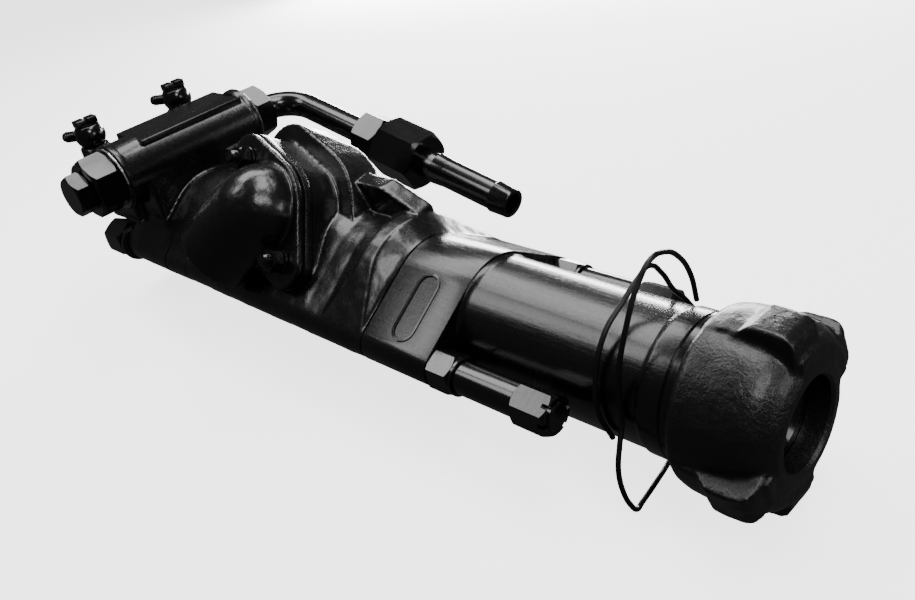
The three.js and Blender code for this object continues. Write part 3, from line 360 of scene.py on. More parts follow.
finishes = {
    # colour, shade colour, painted edge highlight colour, roughness range, metal, grain, peel, mottle,
    # lines, dust, bump
    "castEnamel": dict(
        color=(0.0022, 0.0022, 0.0024), shade=(0.004, 0.004, 0.0044), edgeHighlight=(0.02, 0.02, 0.021),
        rough=(0.2, 0.31), metal=0, grain=620, peel=0.45, mottle=0.8, along=40, across=40,
        lines=0, dust=0.05, bump=0.00024, coat=0.2, edgeHighlightGain=6,
    ),
    "roughEnamel": dict(
        color=(0.0028, 0.0028, 0.003), shade=(0.006, 0.006, 0.0065), edgeHighlight=(0.03, 0.03, 0.031),
        rough=(0.24, 0.42), metal=0, grain=720, peel=0.9, mottle=1.1, along=40, across=40,
        lines=0, dust=0.12, bump=0.0004, coat=0.1, edgeHighlightGain=6,
    ),
    "barrelEnamel": dict(
        color=(0.002, 0.002, 0.0022), shade=(0.0035, 0.0035, 0.0038), edgeHighlight=(0.02, 0.02, 0.021),
        rough=(0.18, 0.3), metal=0, grain=900, peel=0.45, mottle=0.25, along=30, across=520,
        lines=0.5, dust=0.04, bump=0.0002, coat=0.2, edgeHighlightGain=0,
    ),
    "turnedEnamel": dict(
        color=(0.002, 0.002, 0.0022), shade=(0.0035, 0.0035, 0.0038), edgeHighlight=(0.02, 0.02, 0.021),
        rough=(0.13, 0.24), metal=0, grain=900, peel=0.25, mottle=0.3, along=500, across=20,
        lines=0.25, dust=0.03, bump=0.0001, coat=0.3, edgeHighlightGain=0,
    ),
    "darkSteel": dict(
        color=(0.004, 0.004, 0.0044), shade=(0.007, 0.007, 0.0075), edgeHighlight=(0.04, 0.04, 0.04),
        rough=(0.26, 0.4), metal=0.2, grain=900, peel=0.3, mottle=0.3, along=500, across=20,
        lines=0.4, dust=0.03, bump=0.0001, coat=0, edgeHighlightGain=0,
    ),
    "springWire": dict(
        color=(0.005, 0.005, 0.005), shade=(0.009, 0.009, 0.009), edgeHighlight=(0.04, 0.04, 0.04),
        rough=(0.25, 0.42), metal=0.3, grain=1300, peel=0.6, mottle=0.4, along=300, across=900,
        lines=0.4, dust=0.03, bump=0.00012, coat=0, edgeHighlightGain=0,
    ),
    "groundSteel": dict(
        color=(0.4, 0.4, 0.41), shade=(0.28, 0.28, 0.29), edgeHighlight=(0.6, 0.6, 0.6),
        rough=(0.2, 0.4), metal=1, grain=800, peel=0.1, mottle=0.1, along=1400, across=20,
        lines=0.6, dust=0, bump=0.0001, coat=0, edgeHighlightGain=0,
    ),
    "turnedBronze": dict(
        color=(0.42, 0.27, 0.11), shade=(0.3, 0.18, 0.07), edgeHighlight=(0.6, 0.42, 0.2),
        rough=(0.25, 0.4), metal=1, grain=800, peel=0.1, mottle=0.2, along=1400, across=20,
        lines=0.5, dust=0, bump=0.0001, coat=0, edgeHighlightGain=0,
    ),
    "blackRubber": dict(
        color=(0.015, 0.015, 0.015), shade=(0.025, 0.025, 0.025), edgeHighlight=(0.04, 0.04, 0.04),
        rough=(0.6, 0.8), metal=0, grain=1500, peel=0.5, mottle=0.3, along=20, across=20,
        lines=0, dust=0.1, bump=0.0001, coat=0, edgeHighlightGain=0,
    ),
    "gasketSheet": dict(
        color=(0.012, 0.011, 0.01), shade=(0.02, 0.018, 0.016), edgeHighlight=(0.04, 0.04, 0.04),
        rough=(0.5, 0.75), metal=0, grain=2200, peel=0.8, mottle=0.2, along=20, across=20,
        lines=0, dust=0.05, bump=0.00012, coat=0, edgeHighlightGain=0,
    ),
}


def makeFinish(name, f):
    material = bpy.data.materials.new(name)
    material.use_nodes = True
    tree = material.node_tree
    shader = tree.nodes["Principled BSDF"]
    skin = place(tree, "paintSkin", Grain=f["grain"], Peel=f["peel"], Mottle=f["mottle"])
    drag = place(tree, "dragLines", Along=f["along"], Across=f["across"], Strength=f["lines"])
    edgeHighlight = place(tree, "paintedEdgeHighlight", Gain=f["edgeHighlightGain"])
    dust = place(tree, "dustFall", Amount=f["dust"])
    toned = mixColor(tree, skin.outputs["Tone"], f["color"], f["shade"])
    # painted highlight: convex edges are mixed towards the lighter edge highlight colour where the edge
    # mask is on
    edgeHighlighted = mixColor(tree, edgeHighlight.outputs["Mask"], toned, f["edgeHighlight"])
    dusted = mixColor(tree, dust.outputs["Mask"], edgeHighlighted, (0.1, 0.098, 0.095))
    tree.links.new(dusted, shader.inputs["Base Color"])
    spread = tree.nodes.new("ShaderNodeMapRange")
    spread.inputs["From Min"].default_value = 0.3
    spread.inputs["From Max"].default_value = 0.7
    spread.inputs["To Min"].default_value = f["rough"][0]
    spread.inputs["To Max"].default_value = f["rough"][1]
    both = mathNode(tree, "ADD", skin.outputs["Rough"], drag.outputs["Rough"])
    blend = mathNode(tree, "MULTIPLY", both, 0.5)
    tree.links.new(blend, spread.inputs["Value"])
    tree.links.new(spread.outputs["Result"], shader.inputs["Roughness"])
    bump = tree.nodes.new("ShaderNodeBump")
    bump.inputs["Strength"].default_value = 1.0
    bump.inputs["Distance"].default_value = f["bump"]
    height = mathNode(tree, "ADD", skin.outputs["Height"], drag.outputs["Height"])
    tree.links.new(height, bump.inputs["Height"])
    tree.links.new(bump.outputs["Normal"], shader.inputs["Normal"])
    shader.inputs["Metallic"].default_value = f["metal"]
    shader.inputs["Coat Weight"].default_value = f["coat"]
    shader.inputs["Coat Roughness"].default_value = 0.12
    return material


paints = {name: makeFinish(name, f) for name, f in finishes.items()}
slotPaint = {
    "painted_casting": "castEnamel", "rough_casting": "roughEnamel", "painted_steel": "turnedEnamel",
    "spring_wire": "springWire", "bare_steel": "groundSteel", "bronze": "turnedBronze",
    "rubber": "blackRubber", "gasket": "gasketSheet", "plate": "barrelEnamel",
}
for node, cadPiece in frame["nodes"].items():
    cadPiece.data.materials.clear()
    cadPiece.data.materials.append(paints[slotPaint[slotOf[node]]])
print("finishes made")


def placePiece(shape, name, node, paint=None, angle=30):
    # a finished shape goes to its place in metres, rides on its body and stands for its CAD node
    putAt(shape, toolFrame)
    shape.name = name
    shape.data.name = name
    shape.data.materials.clear()
    shape.data.materials.append(paints[paint or slotPaint[slotOf[node]]])
    pick(shape)
    bpy.ops.object.shade_smooth_by_angle(angle=math.radians(angle))
    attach(shape, bodyOf[node])
    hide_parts(node)
    return shape


# stations along the tool and the side rods, shared by several pieces

gap = 0.3
stations = dict(
    capRear=-56.0, nose=-26.6, shoulder=-63.1, flange=-212.5, headRear=-272.5,
    cylinder=-274.3, cylinderRear=-527.3, backhead=-529.1, backheadRear=-641.1,
    throttle=-579.1, exhaust=-396.3,
)
rods = dict(
    spacing=61.5, boss=13.0, hole=9.0, radius=8.6, front=-116.5, rear=-640.1, rearFace=-595.1,
)


def rodHoles(x0, x1):
    return together(*[bar(x0, x1, rods["hole"], s * rods["spacing"]) for s in (-1, 1)])


# front end: cap, bushing and collar

capSize = dict(
    radius=51.5, rearRadius=49.5, lugAngles=(22, 88, 202, 268), lugRadius=59.0, lugWidth=26.0,
    padRadius=55.0, openingRadius=27.0, faceRing=31.0, hollow=38.3, wall=14.0, voxel=1.1, soft=9,
)


def outlinePrism(points, width):
    # a flat outline of (x, r) points, given its thickness either side of the XZ plane
    deselect()
    bpy.ops.mesh.primitive_circle_add(vertices=len(points), radius=1, fill_type="NGON")
    shape = bpy.context.object
    for vertex, (x, r) in zip(shape.data.vertices, points):
        vertex.co = (x, width / 2, r)
    bpy.ops.object.mode_set(mode="EDIT")
    bpy.ops.mesh.select_all(action="SELECT")
    bpy.ops.mesh.extrude_region_move(TRANSFORM_OT_translate={"value": (0, -width, 0)})
    bpy.ops.mesh.select_all(action="SELECT")
    bpy.ops.mesh.normals_make_consistent(inside=False)
    bpy.ops.object.mode_set(mode="OBJECT")
    return shape


def aroundAxis(thing, degrees):
    # angles are from +Y towards +Z, and shapes are drawn standing on +Z
    return putAt(thing, Matrix.Rotation(math.radians(degrees - 90), 4, "X"))


def wedge(angleFrom, angleTo, x0, x1, reach=120):
    corners = [(0, 0)]
    for i in range(4):
        a = math.radians(angleFrom + (angleTo - angleFrom) * i / 3)
        corners.append((reach * math.cos(a), reach * math.sin(a)))
    shape = outlinePrism(corners, x1 - x0)
    # the outline was drawn in XZ: lay it across the tool axis
    turn = Matrix(((0, 1, 0, (x0 + x1) / 2), (1, 0, 0, 0), (0, 0, 1, 0), (0, 0, 0, 1)))
    putAt(shape, turn)
    bpy.ops.object.mode_set(mode="EDIT")
    bpy.ops.mesh.select_all(action="SELECT")
    bpy.ops.mesh.normals_make_consistent(inside=False)
    bpy.ops.object.mode_set(mode="OBJECT")
    return shape


def makeCap():
    c = capSize
    rear = stations["capRear"]
    body = turned([
        (rear, c["rearRadius"]), (rear + 4, c["radius"] + 0.6), (rear + 16, 51.9), (-30, 51.5),
        (-22, 50.6), (-15, 48.9), (-10, 46.5), (-6, 43.3), (-3, 39.6), (-1, 35.6), (0.4, 32.5),
    ], 72)
    half = math.degrees(math.asin(c["lugWidth"] / 2 / c["lugRadius"]))
    shells = [body]
    for i in (0, 2):
        crown = turned([
            (rear, c["rearRadius"]), (rear + 4, c["padRadius"] - 2.5),
            (rear + 12, c["padRadius"] - 0.7), (rear + 26, c["padRadius"]),
            (-19, c["padRadius"] - 0.5), (-11, c["padRadius"] - 2.5), (-4, c["padRadius"] - 7),
            (-0.8, 44),
        ], 72)
        span = wedge(c["lugAngles"][i] - half, c["lugAngles"][i + 1] + half, rear - 1, 1)
        shells.append(combine(crown, "INTERSECT", [span]))
    for angle in c["lugAngles"]:
        lug = outlinePrism([
            (-40, 42), (-3, 31), (-3, 46), (-3.6, 51), (-5.5, 55.5), (-9, 58), (-15, 58.9),
            (-28, 58.9), (-34, 54), (-39, 50),
        ], c["lugWidth"])
        shells.append(aroundAxis(lug, angle))
    # a valley runs beside each lug that borders a bare stretch
    valleys = []
    for angle in (88 + half + 7.5, 202 - half - 7.5, 268 + half + 7.5, 22 - half - 7.5):
        deselect()
        bpy.ops.mesh.primitive_cone_add(
            vertices=24, radius1=3.0, radius2=9.5, depth=42, location=(-18, 0, 56.5),
            rotation=(0, math.pi / 2, 0),
        )
        valleys.append(aroundAxis(settle(bpy.context.object), angle))
    cutAway(body, *valleys)
    cap = castSkin(together(*shells), c["voxel"], c["soft"])
    unevenness(cap, 8, 0.6)
    hollow = bar(rear - 4, -c["wall"], c["hollow"], sides=96)
    mouth = turned([
        (-c["wall"] - 1, c["openingRadius"]), (-1.9, c["openingRadius"]), (0.6, 29.5), (2, 31),
    ])
    lip = turned([
        (-c["wall"], 24), (-c["wall"], 43), (-7, 41.6), (-3.6, 38.2), (-1.5, 34.8), (-0.5, 32.4),
        (-0.25, 31), (-0.25, 24), (-c["wall"], 24),
    ], 128)
    weld(cap, lip)
    faceTrim = block(-0.25, 6, -70, 70, -70, 70)
    rearTrim = block(rear - 6, rear + 0.2, -70, 70, -70, 70)
    floorTrim = block(-70, 6, -40, 40, -64, -c["lugRadius"] + 0.02)
    cutAway(cap, faceTrim, rearTrim, floorTrim, hollow, mouth)
    placePiece(cap, "lobedCap", "front_cap", angle=42)


def makeBushing():
    front = -14.3
    body = turned([
        (-106.3, 27.0), (-26.3, 27.0), (-26.3, 36.1), (-25.8, 36.5), (front - 1, 36.5), (front, 35.5),
    ])
    corner = 28 / math.sqrt(3)
    hexHole = putAt(bar(-110, 0, corner, sides=6), Matrix.Rotation(math.pi / 6, 4, "X"))
    mouth = turned([(front - 5, corner - 1), (front + 1, corner + 5)], 48)
    cutAway(body, hexHole, mouth)
    placePiece(softEdges(body, 0.3, 2, 40), "shankBushing", "tool_bushing", "turnedEnamel")


def makeLockRing():
    x0, x1 = -62.8, -56.3
    collar = turned([
        (x0, 38.3), (x0, 43.6), (x0 + 1.2, 44.8), (x1 - 1.2, 44.8), (x1, 43.6), (x1, 38.3), (x0, 38.3),
    ], 128)
    placePiece(collar, "capCollar", "cap_lock_ring")


makeCap()
makeBushing()
makeLockRing()
print("front end made")


# castings: front head, cylinder and backhead

headSize = dict(tube=43.0, step=44.3, nose=38.0, flange=46.0, bore=27.3, rearBore=20.0)
plateSize = dict(length=46.0, width=15.0, recess=2.4, across=24.0, back=30.0)
flangeSlope = math.acos((headSize["flange"] - rods["boss"]) / rods["spacing"])


def roundedSlot(length, width, z0, z1):
    # an oblong with round ends, long in Y, standing along Z
    half = length / 2 - width / 2
    ends = [putAt(bar(z0, z1, width / 2, s * half, 0, 32), Matrix.Identity(4)) for s in (-1, 1)]
    return putAt(hull(*ends), standUp)


def ontoFlangeFace(thing, lift):
    reach, along = headSize["flange"] + lift, plateSize["across"]
    y = -math.cos(flangeSlope) * reach - math.sin(flangeSlope) * along
    z = math.sin(flangeSlope) * reach - math.cos(flangeSlope) * along
    there = Matrix.Translation((stations["flange"] - plateSize["back"], y, z))
    return putAt(thing, there @ Matrix.Rotation(math.pi / 2 - flangeSlope, 4, "X"))


def makeFrontHead():
    s, h = stations, headSize
    tube = turned([
        (s["headRear"] + 2, h["tube"]), (s["flange"] - 1, h["tube"] + 2.2),
        (s["flange"] + 0.6, h["tube"] + 1.1), (s["flange"] + 2.4, h["tube"] + 0.3),
        (s["flange"] + 5, h["tube"]),
        (s["shoulder"] - 16.5, h["tube"]), (s["shoulder"] - 15, h["tube"] + 0.35),
        (s["shoulder"] - 13, h["step"] - 0.1), (s["shoulder"] - 12, h["step"]),
        (s["shoulder"] - 0.8, h["step"]), (s["shoulder"], h["step"] - 0.8), (s["shoulder"], h["nose"]),
        (-27.4, h["nose"]), (-26.6, h["nose"] - 0.8),
    ], 144)
    flange = earedBlock(
        [(s["headRear"], h["flange"]), (s["flange"], h["flange"])],
        rods["boss"], rods["spacing"], 1.3, 80,
    )
    head = weld(flange, tube)
    holes = rodHoles(s["headRear"] - 2, s["flange"] + 4)
    bore = bar(-187, -20, h["bore"], sides=64)
    rearBore = bar(s["headRear"] - 4, -180, h["rearBore"], sides=64)
    length, width = plateSize["length"], plateSize["width"]
    recess = ontoFlangeFace(roundedSlot(length + 0.8, width + 0.8, 0, 12), -plateSize["recess"])
    cutAway(head, holes, bore, rearBore, recess)
    # a thin raised rim frames the recess
    rim = ontoFlangeFace(roundedSlot(length + 4.5, width + 4.5, -0.6, 0.55), 0)
    rimHole = ontoFlangeFace(roundedSlot(length + 1.2, width + 1.2, -4, 4), 0)
    softEdges(rim, 0.35, 2, 40)
    cutAway(rim, rimHole)
    weld(head, rim)
    placePiece(head, "barrelHead", "front_head", "barrelEnamel", angle=28)


exhaustSize = dict(
    tilt=57.0, offset=31.0, face=57.0, turn=-46.0, radius=39.0, ear=18.0, spacing=47.0, port=23.0,
    studSpacing=45.0, hoodTurn=-137.0,
)


def exhaustFace():
    # the slanting face that the exhaust stack is bolted to, with +Z out of it
    tilt = math.radians(exhaustSize["tilt"])
    y, z = (exhaustSize["offset"] * f(tilt) for f in (math.cos, math.sin))
    return Matrix.Translation((stations["exhaust"], y, z)) @ Matrix.Rotation(tilt, 4, "X")


def exhaustFrame(turn=None, side=0):
    # from a shape drawn along X to one that stands on the exhaust face
    e = exhaustSize
    frameTurn = exhaustFace()
    if side:
        a = math.radians(e["turn"])
        reach = side * e["studSpacing"]
        frameTurn = frameTurn @ Matrix.Translation((reach * math.cos(a), reach * math.sin(a), 0))
    if turn is not None:
        frameTurn = frameTurn @ Matrix.Rotation(math.radians(turn), 4, "Z")
    return frameTurn @ standUp


def exhaustPlate(z0, z1, grow=0, edge=0.0, flare=0):
    e = exhaustSize
    stretch = [(z0, e["radius"] + grow + flare), (z1, e["radius"] + grow)]
    shape = earedBlock(stretch, e["ear"] + grow, e["spacing"], edge, 72)
    return putAt(shape, exhaustFrame(e["turn"] - 90))


cylinderSize = dict(
    shoulder=57.0, waist=49.0, body=53.0, bore=30.3, ridgeTop=70.0, ridgeNear=12.0, ridgeFar=28.0,
    ridgeStart=16.0, ridgeSlope=36.0, voxel=1.35, soft=3,
)


def makeCylinder():
    s, c, e = stations, cylinderSize, exhaustSize
    x0 = s["cylinder"]
    rear = s["cylinderRear"]
    lofts = [
        (x0 + 3, 44.5), (x0 - 1, 46.4), (x0 - 14, c["shoulder"]), (x0 - 27, c["shoulder"]),
        (x0 - 44, c["waist"]), (x0 - 62, c["waist"]), (x0 - 86, c["body"]), (x0 - 176, c["body"]),
    ]
    body = earedBlock([(x, r) for x, r in reversed(lofts)], rods["boss"], rods["spacing"])
    rearBarrel = bar(rear - 3, x0 - 170, c["body"], sides=96)
    rearFlange = earedBlock(
        [(rear - 3, c["body"]), (rear + 30, c["body"])], rods["boss"], rods["spacing"],
    )
    rodRidges = [
        bar(rear - 3, x0 - 100, rods["boss"] - 0.4, side * rods["spacing"]) for side in (-1, 1)
    ]
    ridge = outlinePrism([
        (x0 - c["ridgeStart"], c["shoulder"] - 1), (x0 - c["ridgeStart"] - c["ridgeSlope"], c["ridgeTop"]),
        (rear - 3, c["ridgeTop"]), (rear - 3, 32), (x0 - c["ridgeStart"], 32),
    ], c["ridgeFar"] - c["ridgeNear"])
    putAt(ridge, Matrix.Translation((0, (c["ridgeNear"] + c["ridgeFar"]) / 2, 0)))
    skirt = exhaustPlate(6, 33, 15, 0, 6)
    boss = exhaustPlate(13, e["face"] + 4, 0)
    neck = putAt(bar(-30, 52, 26), exhaustFrame())
    casting = together(body, rearBarrel, rearFlange, *rodRidges, ridge, skirt, boss, neck)
    castSkin(casting, c["voxel"], c["soft"])
    unevenness(casting, 22, 1.2)
    frontTrim = block(x0, x0 + 30, -100, 100, -90, 100)
    rearTrim = block(rear - 30, rear, -100, 100, -90, 120)
    relief = exhaustPlate(e["face"], 130, 2.5)
    bore = bar(rear - 5, x0 + 5, c["bore"], sides=96)
    port = putAt(bar(-10, 70, e["port"]), exhaustFrame())
    studs = together(*[
        putAt(bar(e["face"] - 14, 110, 5.2, sides=32), exhaustFrame(side=k)) for k in (-1, 1)
    ])
    cutAway(casting, frontTrim, rearTrim, relief, bore, rodHoles(rear - 5, x0 + 5), port, studs)
    placePiece(casting, "cylinderBody", "cylinder_casting", angle=40)


backSize = dict(
    radius=50.0, rear=42.0, tube=27.5, rim=28.6, halfLength=68.0, height=69.0, bore=19.0, padTop=95.0,
    padNear=-42.0, padFar=60.0, padFront=19.0, padBack=27.0, footWidth=44.0, voxel=1.35, soft=6,
)


def acrossY(thing, x, z):
    # a shape drawn along X is laid along +Y
    return putAt(thing, Matrix.Translation((x, 0, z)) @ Matrix.Rotation(math.pi / 2, 4, "Z"))


def makeBackhead():
    s, b = stations, backSize
    xT, xR, xF = s["throttle"], s["backheadRear"], s["backhead"]
    body = earedBlock(
        [(xR, b["rear"]), (xR + 20, b["radius"]), (xF + 3, b["radius"])],
        rods["boss"], rods["spacing"],
    )
    bosses = [bar(xF - 66, xF + 3, rods["boss"] - 0.3, k * rods["spacing"]) for k in (-1, 1)]
    saddle = block(xT - 27.5, xT + 27.5, -52, 52, 0, b["height"])
    innerTube = acrossY(bar(-64, 64, b["tube"] - 0.4, sides=96), xT, b["height"])

    def postAt(shape, k):
        return putAt(shape, Matrix.Translation((xT - 72, k * 46, 0)) @ standUp)

    posts = [postAt(bar(20, 80.7, 13), k) for k in (-1, 1)]
    arms = [hull(
        postAt(bar(20, 79, 12), k), block(xT - 30, xT - 10, k * 46 - 12, k * 46 + 12, 20, 72),
    ) for k in (-1, 1)]
    foot = block(xR + 6, xR + 66, -b["footWidth"] / 2, b["footWidth"] / 2, -59, 0)
    casting = together(body, *bosses, saddle, innerTube, *posts, *arms, foot)
    castSkin(casting, b["voxel"], b["soft"])
    unevenness(casting, 22, 1.0)
    skin = turned([
        (-68, 27.6), (-67, 28.6), (-63.5, 28.6), (-62.4, 28.0), (-61, 27.7), (61, 27.7), (62.4, 28.0),
        (63.5, 28.6), (67, 28.6), (68, 27.6),
    ], 128)
    pad = block(
        xT - b["padBack"], xT + b["padFront"], b["padNear"], b["padFar"], b["height"], b["padTop"], 0.9,
    )
    weld(casting, acrossY(skin, xT, b["height"]), pad)
    throttleBore = acrossY(bar(-70, 70, b["bore"], sides=72), xT, b["height"])
    pocket = bar(xF - 13, xF + 6, 30.3, sides=72)
    frontTrim = block(xF, xF + 20, -100, 100, -90, 100)
    footTrim = block(xR - 20, xF, -100, 100, -90, -59)
    airWay = bar(xT, xF - 10, 9)
    airRise = putAt(bar(-9, 69, 9), Matrix.Translation((xT, 0, 0)) @ standUp)
    seats = together(*[bar(xR - 40, rods["rearFace"], 19.0, k * rods["spacing"]) for k in (-1, 1)])
    pins = together(*[postAt(bar(62, 84, 4.8, sides=32), k) for k in (-1, 1)])
    postTrim = block(xT - 90, xT - 50, -70, 70, 80.7, 100)
    crestTrim = block(xT - 40, xT + 40, b["padNear"] + 0.9, b["padFar"] - 0.9, b["padTop"], 110)
    rearTrim = block(xR - 60, xR - 12, -34, 34, -59, 82)
    cutAway(casting, frontTrim, footTrim, crestTrim, throttleBore, pocket, airWay, airRise,
            rodHoles(xR - 5, xF + 5), seats, pins, postTrim, rearTrim)
    placePiece(casting, "throttleHead", "backhead", angle=40)


makeFrontHead()
print("front head made")
makeCylinder()
print("cylinder made")
makeBackhead()
print("backhead made")


# side rods with their nuts and washers

def makeRodSet(side, name):
    y = side * rods["spacing"]
    there = Matrix.Translation((0, y, 0))
    x = stations["flange"] + gap

    def put(shape, label, node, paint=None, angle=30):
        placePiece(putAt(shape, there), label + name.capitalize(), node + "_" + name, paint, angle)

    def bored(shape, x0, x1):
        return cutAway(shape, bar(x0 - 1, x1 + 1, rods["radius"] + gap, sides=48))

    rodProfile = [(rods["rear"], rods["radius"] - 1.2), (rods["rear"] + 1.2, rods["radius"])]
    thread = rods["rear"] + 3
    while thread < rods["rear"] + 30:
        rodProfile += [(thread, rods["radius"]), (thread + 0.9, rods["radius"] - 0.9)]
        thread += 1.8
    rodProfile += [(thread, rods["radius"]), (rods["front"] - 1, rods["radius"])]
    rodProfile.append((rods["front"], rods["radius"] - 1))
    put(turned(rodProfile, 48), "sideRod", "side_rod")
    put(bored(hexBar(24, x, x + 19), x, x + 19), "collarNut", "collar_nut")
    x += 19 + gap
    put(ring(x, x + 2.4, 8.9, 12.6), "rodWasher", "rod_washer")
    x += 2.4 + gap
    put(ring(x, x + 46, 8.9, 10.7, 0.5), "rodSleeve", "rod_sleeve")
    x += 46 + gap
    castle = bored(hexBar(24, x, x + 26, 2.2, 0.6), x, x + 26)
    for i in range(3):
        slot = block(x + 21.5, x + 27, -15, 15, -1.4, 1.4)
        cutAway(castle, putAt(slot, Matrix.Rotation(math.radians(60 * i), 4, "X")))
    put(castle, "castleNut", "castle_nut", angle=25)
    x = rods["rearFace"] - gap
    ballProfile = [(x - 11, 8.9), (x - 11, 12.5)]
    ballProfile += [(x - 11 + 1.4 * i, 12.5 + 4.0 * math.sin(math.radians(15 * i))) for i in range(1, 7)]
    ballProfile += [(x - 0.8, 16.2), (x, 14.6), (x, 8.9), (x - 11, 8.9)]
    put(turned(ballProfile, 72), "ballWasher", "ball_washer")
    x -= 11 + gap
    put(bored(hexBar(29, x - 28, x, 2.4, 0.6), x - 28, x), "rearNut", "rear_nut")


for side, name in ((-1, "left"), (1, "right")):
    makeRodSet(side, name)
print("side rods made")


# exhaust: hood, spacer, studs and nuts

def threadProfile(x0, x1, radius, pitch=1.5, depth=0.75):
    # crests and roots of a coarse thread between two stations
    points, x = [], x0
    while x + pitch <= x1:
        points += [(x, radius), (x + pitch * 0.35, radius - depth), (x + pitch * 0.65, radius - depth)]
        x += pitch
    return points + [(x, radius)]


hoodSize = dict(base=65.3, plate=6.0, half=34.0, height=36.0, reach=58.0, wall=5.0, voxel=0.9, soft=7)


def halfTunnel(width, height, reach, flat):
    deselect()
    bpy.ops.mesh.primitive_uv_sphere_add(segments=64, ring_count=32, radius=width)
    dome = bpy.context.object
    tunnel = bar(0, reach, width, sides=64)
    for thing in (dome, tunnel):
        putAt(thing, Matrix.Diagonal((1, 1, height / width, 1)))
    keep = [block(-200, 400, -200, 200, flat, 200) for _ in range(2)]
    combine(dome, "INTERSECT", [keep[0]])
    combine(tunnel, "INTERSECT", [keep[1]])
    return together(dome, tunnel)


def hoodFrame(lift):
    turn = Matrix.Rotation(math.radians(exhaustSize["hoodTurn"]), 4, "Z")
    return exhaustFace() @ Matrix.Translation((0, 0, lift)) @ turn


def makeHood():
    h, e = hoodSize, exhaustSize
    top = h["base"] + h["plate"]
    plate = exhaustPlate(h["base"] + 0.2, top)
    outer = putAt(halfTunnel(h["half"], h["height"], h["reach"], -3), hoodFrame(top - 1))
    hood = castSkin(together(plate, outer), h["voxel"], h["soft"])
    unevenness(hood, 14, 0.9)
    inner = halfTunnel(h["half"] - h["wall"], h["height"] - h["wall"], h["reach"] + 14, -0.5)
    putAt(inner, hoodFrame(top - 1))
    shapedBy(inner, "REMESH", mode="VOXEL", voxel_size=1.4)
    baseTrim = exhaustPlate(h["base"] - 20, h["base"], 8)
    port = putAt(bar(h["base"] - 5, top + 4, e["port"]), exhaustFrame())
    tools = [baseTrim, inner, port]
    for k in (-1, 1):
        tools.append(putAt(bar(h["base"] - 5, top + 60, 5.2, sides=32), exhaustFrame(side=k)))
        tools.append(putAt(bar(top, top + 60, 10.3, sides=48), exhaustFrame(side=k)))
    cutAway(hood, *tools)
    placePiece(hood, "exhaustHood", "exhaust_hood", angle=40)


def makeExhaustStack():
    e = exhaustSize
    spacer = exhaustPlate(58.8, 64.4, 1, 0.9)
    holes = [putAt(bar(50, 75, e["port"]), exhaustFrame())]
    holes += [putAt(bar(50, 75, 5.2, sides=32), exhaustFrame(side=k)) for k in (-1, 1)]
    placePiece(cutAway(spacer, *holes), "exhaustSpacer", "exhaust_spacer", angle=40)
    top = hoodSize["base"] + hoodSize["plate"]
    for name, k in (("front", 1), ("rear", -1)):
        stud = turned([(43.4, 4.9)] + threadProfile(top + 9, top + 16, 4.9) + [(top + 17, 3.9)], 48)
        put = exhaustFrame(side=k)
        end = name.capitalize()
        placePiece(putAt(stud, put), "hoodStud" + end, "hood_stud_" + name, angle=20)
        washer = ring(top + 0.3, top + 2.3, 5.2, 9.5, 0.4, 64)
        placePiece(putAt(washer, put), "hoodWasher" + end, "hood_washer_" + name)
        nut = hexBar(16, top + 2.6, top + 11.6, 1.3, 0.4)
        cutAway(nut, bar(top, top + 14, 5.2, sides=32))
        placePiece(putAt(nut, put), "hoodNut" + end, "hood_nut_" + name)


makeHood()
makeExhaustStack()
print("exhaust made")


# intake: plugs, swivel nut, gooseneck and nipple

pipeSize = dict(radius=11.5, bore=8.5, bend=32.0, side=122.0, leg=126.0, pitch=12.5, spigot=44.3)
tubeCentre = Matrix.Translation((stations["throttle"], 0, backSize["height"]))
intakeFrame = tubeCentre @ Matrix.Rotation(math.pi / 2, 4, "Z")
neckFrame = tubeCentre @ Matrix.Rotation(math.radians(pipeSize["pitch"]), 4, "Y")
legFrame = neckFrame @ Matrix.Translation((0, pipeSize["side"], 0))


def makePlugs():
    big = hexBar(46, -94, -70, 3.2, 0.8)
    weld(big, bar(-75, -46, 18.7, sides=72))
    cutAway(big, bar(-100, -79.3, 8.3, sides=48))
    placePiece(putAt(big, intakeFrame), "throttlePlug", "throttle_plug", angle=25)
    small = hexBar(32, -108.3, -94.3, 2.6, 0.7)
    weld(small, bar(-96, -80.3, 8, sides=48))
    placePiece(putAt(small, intakeFrame), "adjusterPlug", "adjuster_plug", angle=25)
    nut = hexBar(43, 70, 90, 3.2, 0.8)
    weld(nut, bar(44, 74, 18.7, sides=72))
    cutAway(nut, bar(40, 95, 12.5, sides=64))
    placePiece(putAt(nut, intakeFrame), "swivelNut", "swivel_nut", angle=25)


def pipeWall(radius, extra=0):
    # a straight run, a quarter bend and a second straight run
    p = pipeSize
    deselect()
    bpy.ops.mesh.primitive_circle_add(
        vertices=64, radius=radius, fill_type="NGON", location=(0, p["spigot"] - extra, 0),
        rotation=(math.pi / 2, 0, 0),
    )
    pipe = settle(bpy.context.object)
    start = p["side"] - p["bend"]
    bpy.ops.object.mode_set(mode="EDIT")
    bpy.ops.mesh.select_all(action="SELECT")
    bpy.ops.mesh.extrude_region_move(TRANSFORM_OT_translate={"value": (0, start - p["spigot"] + extra, 0)})
    turns = 24
    for i in range(turns):
        # the end ring is carried round the bend's centre a step at a time
        a0, a1 = (math.pi / 2 * k / turns for k in (i, i + 1))
        step = p["bend"] * Vector((math.cos(a0) - math.cos(a1), math.sin(a1) - math.sin(a0), 0))
        bpy.ops.mesh.extrude_region_move(TRANSFORM_OT_translate={"value": step})
        centre = (p["bend"] * (1 - math.cos(a1)), start + p["bend"] * math.sin(a1), 0)
        bpy.ops.transform.rotate(value=math.pi / 2 / turns, orient_axis="Z", center_override=centre)
    bpy.ops.mesh.extrude_region_move(TRANSFORM_OT_translate={"value": (p["leg"] - p["bend"] + extra, 0, 0)})
    bpy.ops.mesh.select_all(action="SELECT")
    bpy.ops.mesh.normals_make_consistent(inside=False)
    bpy.ops.object.mode_set(mode="OBJECT")
    return pipe


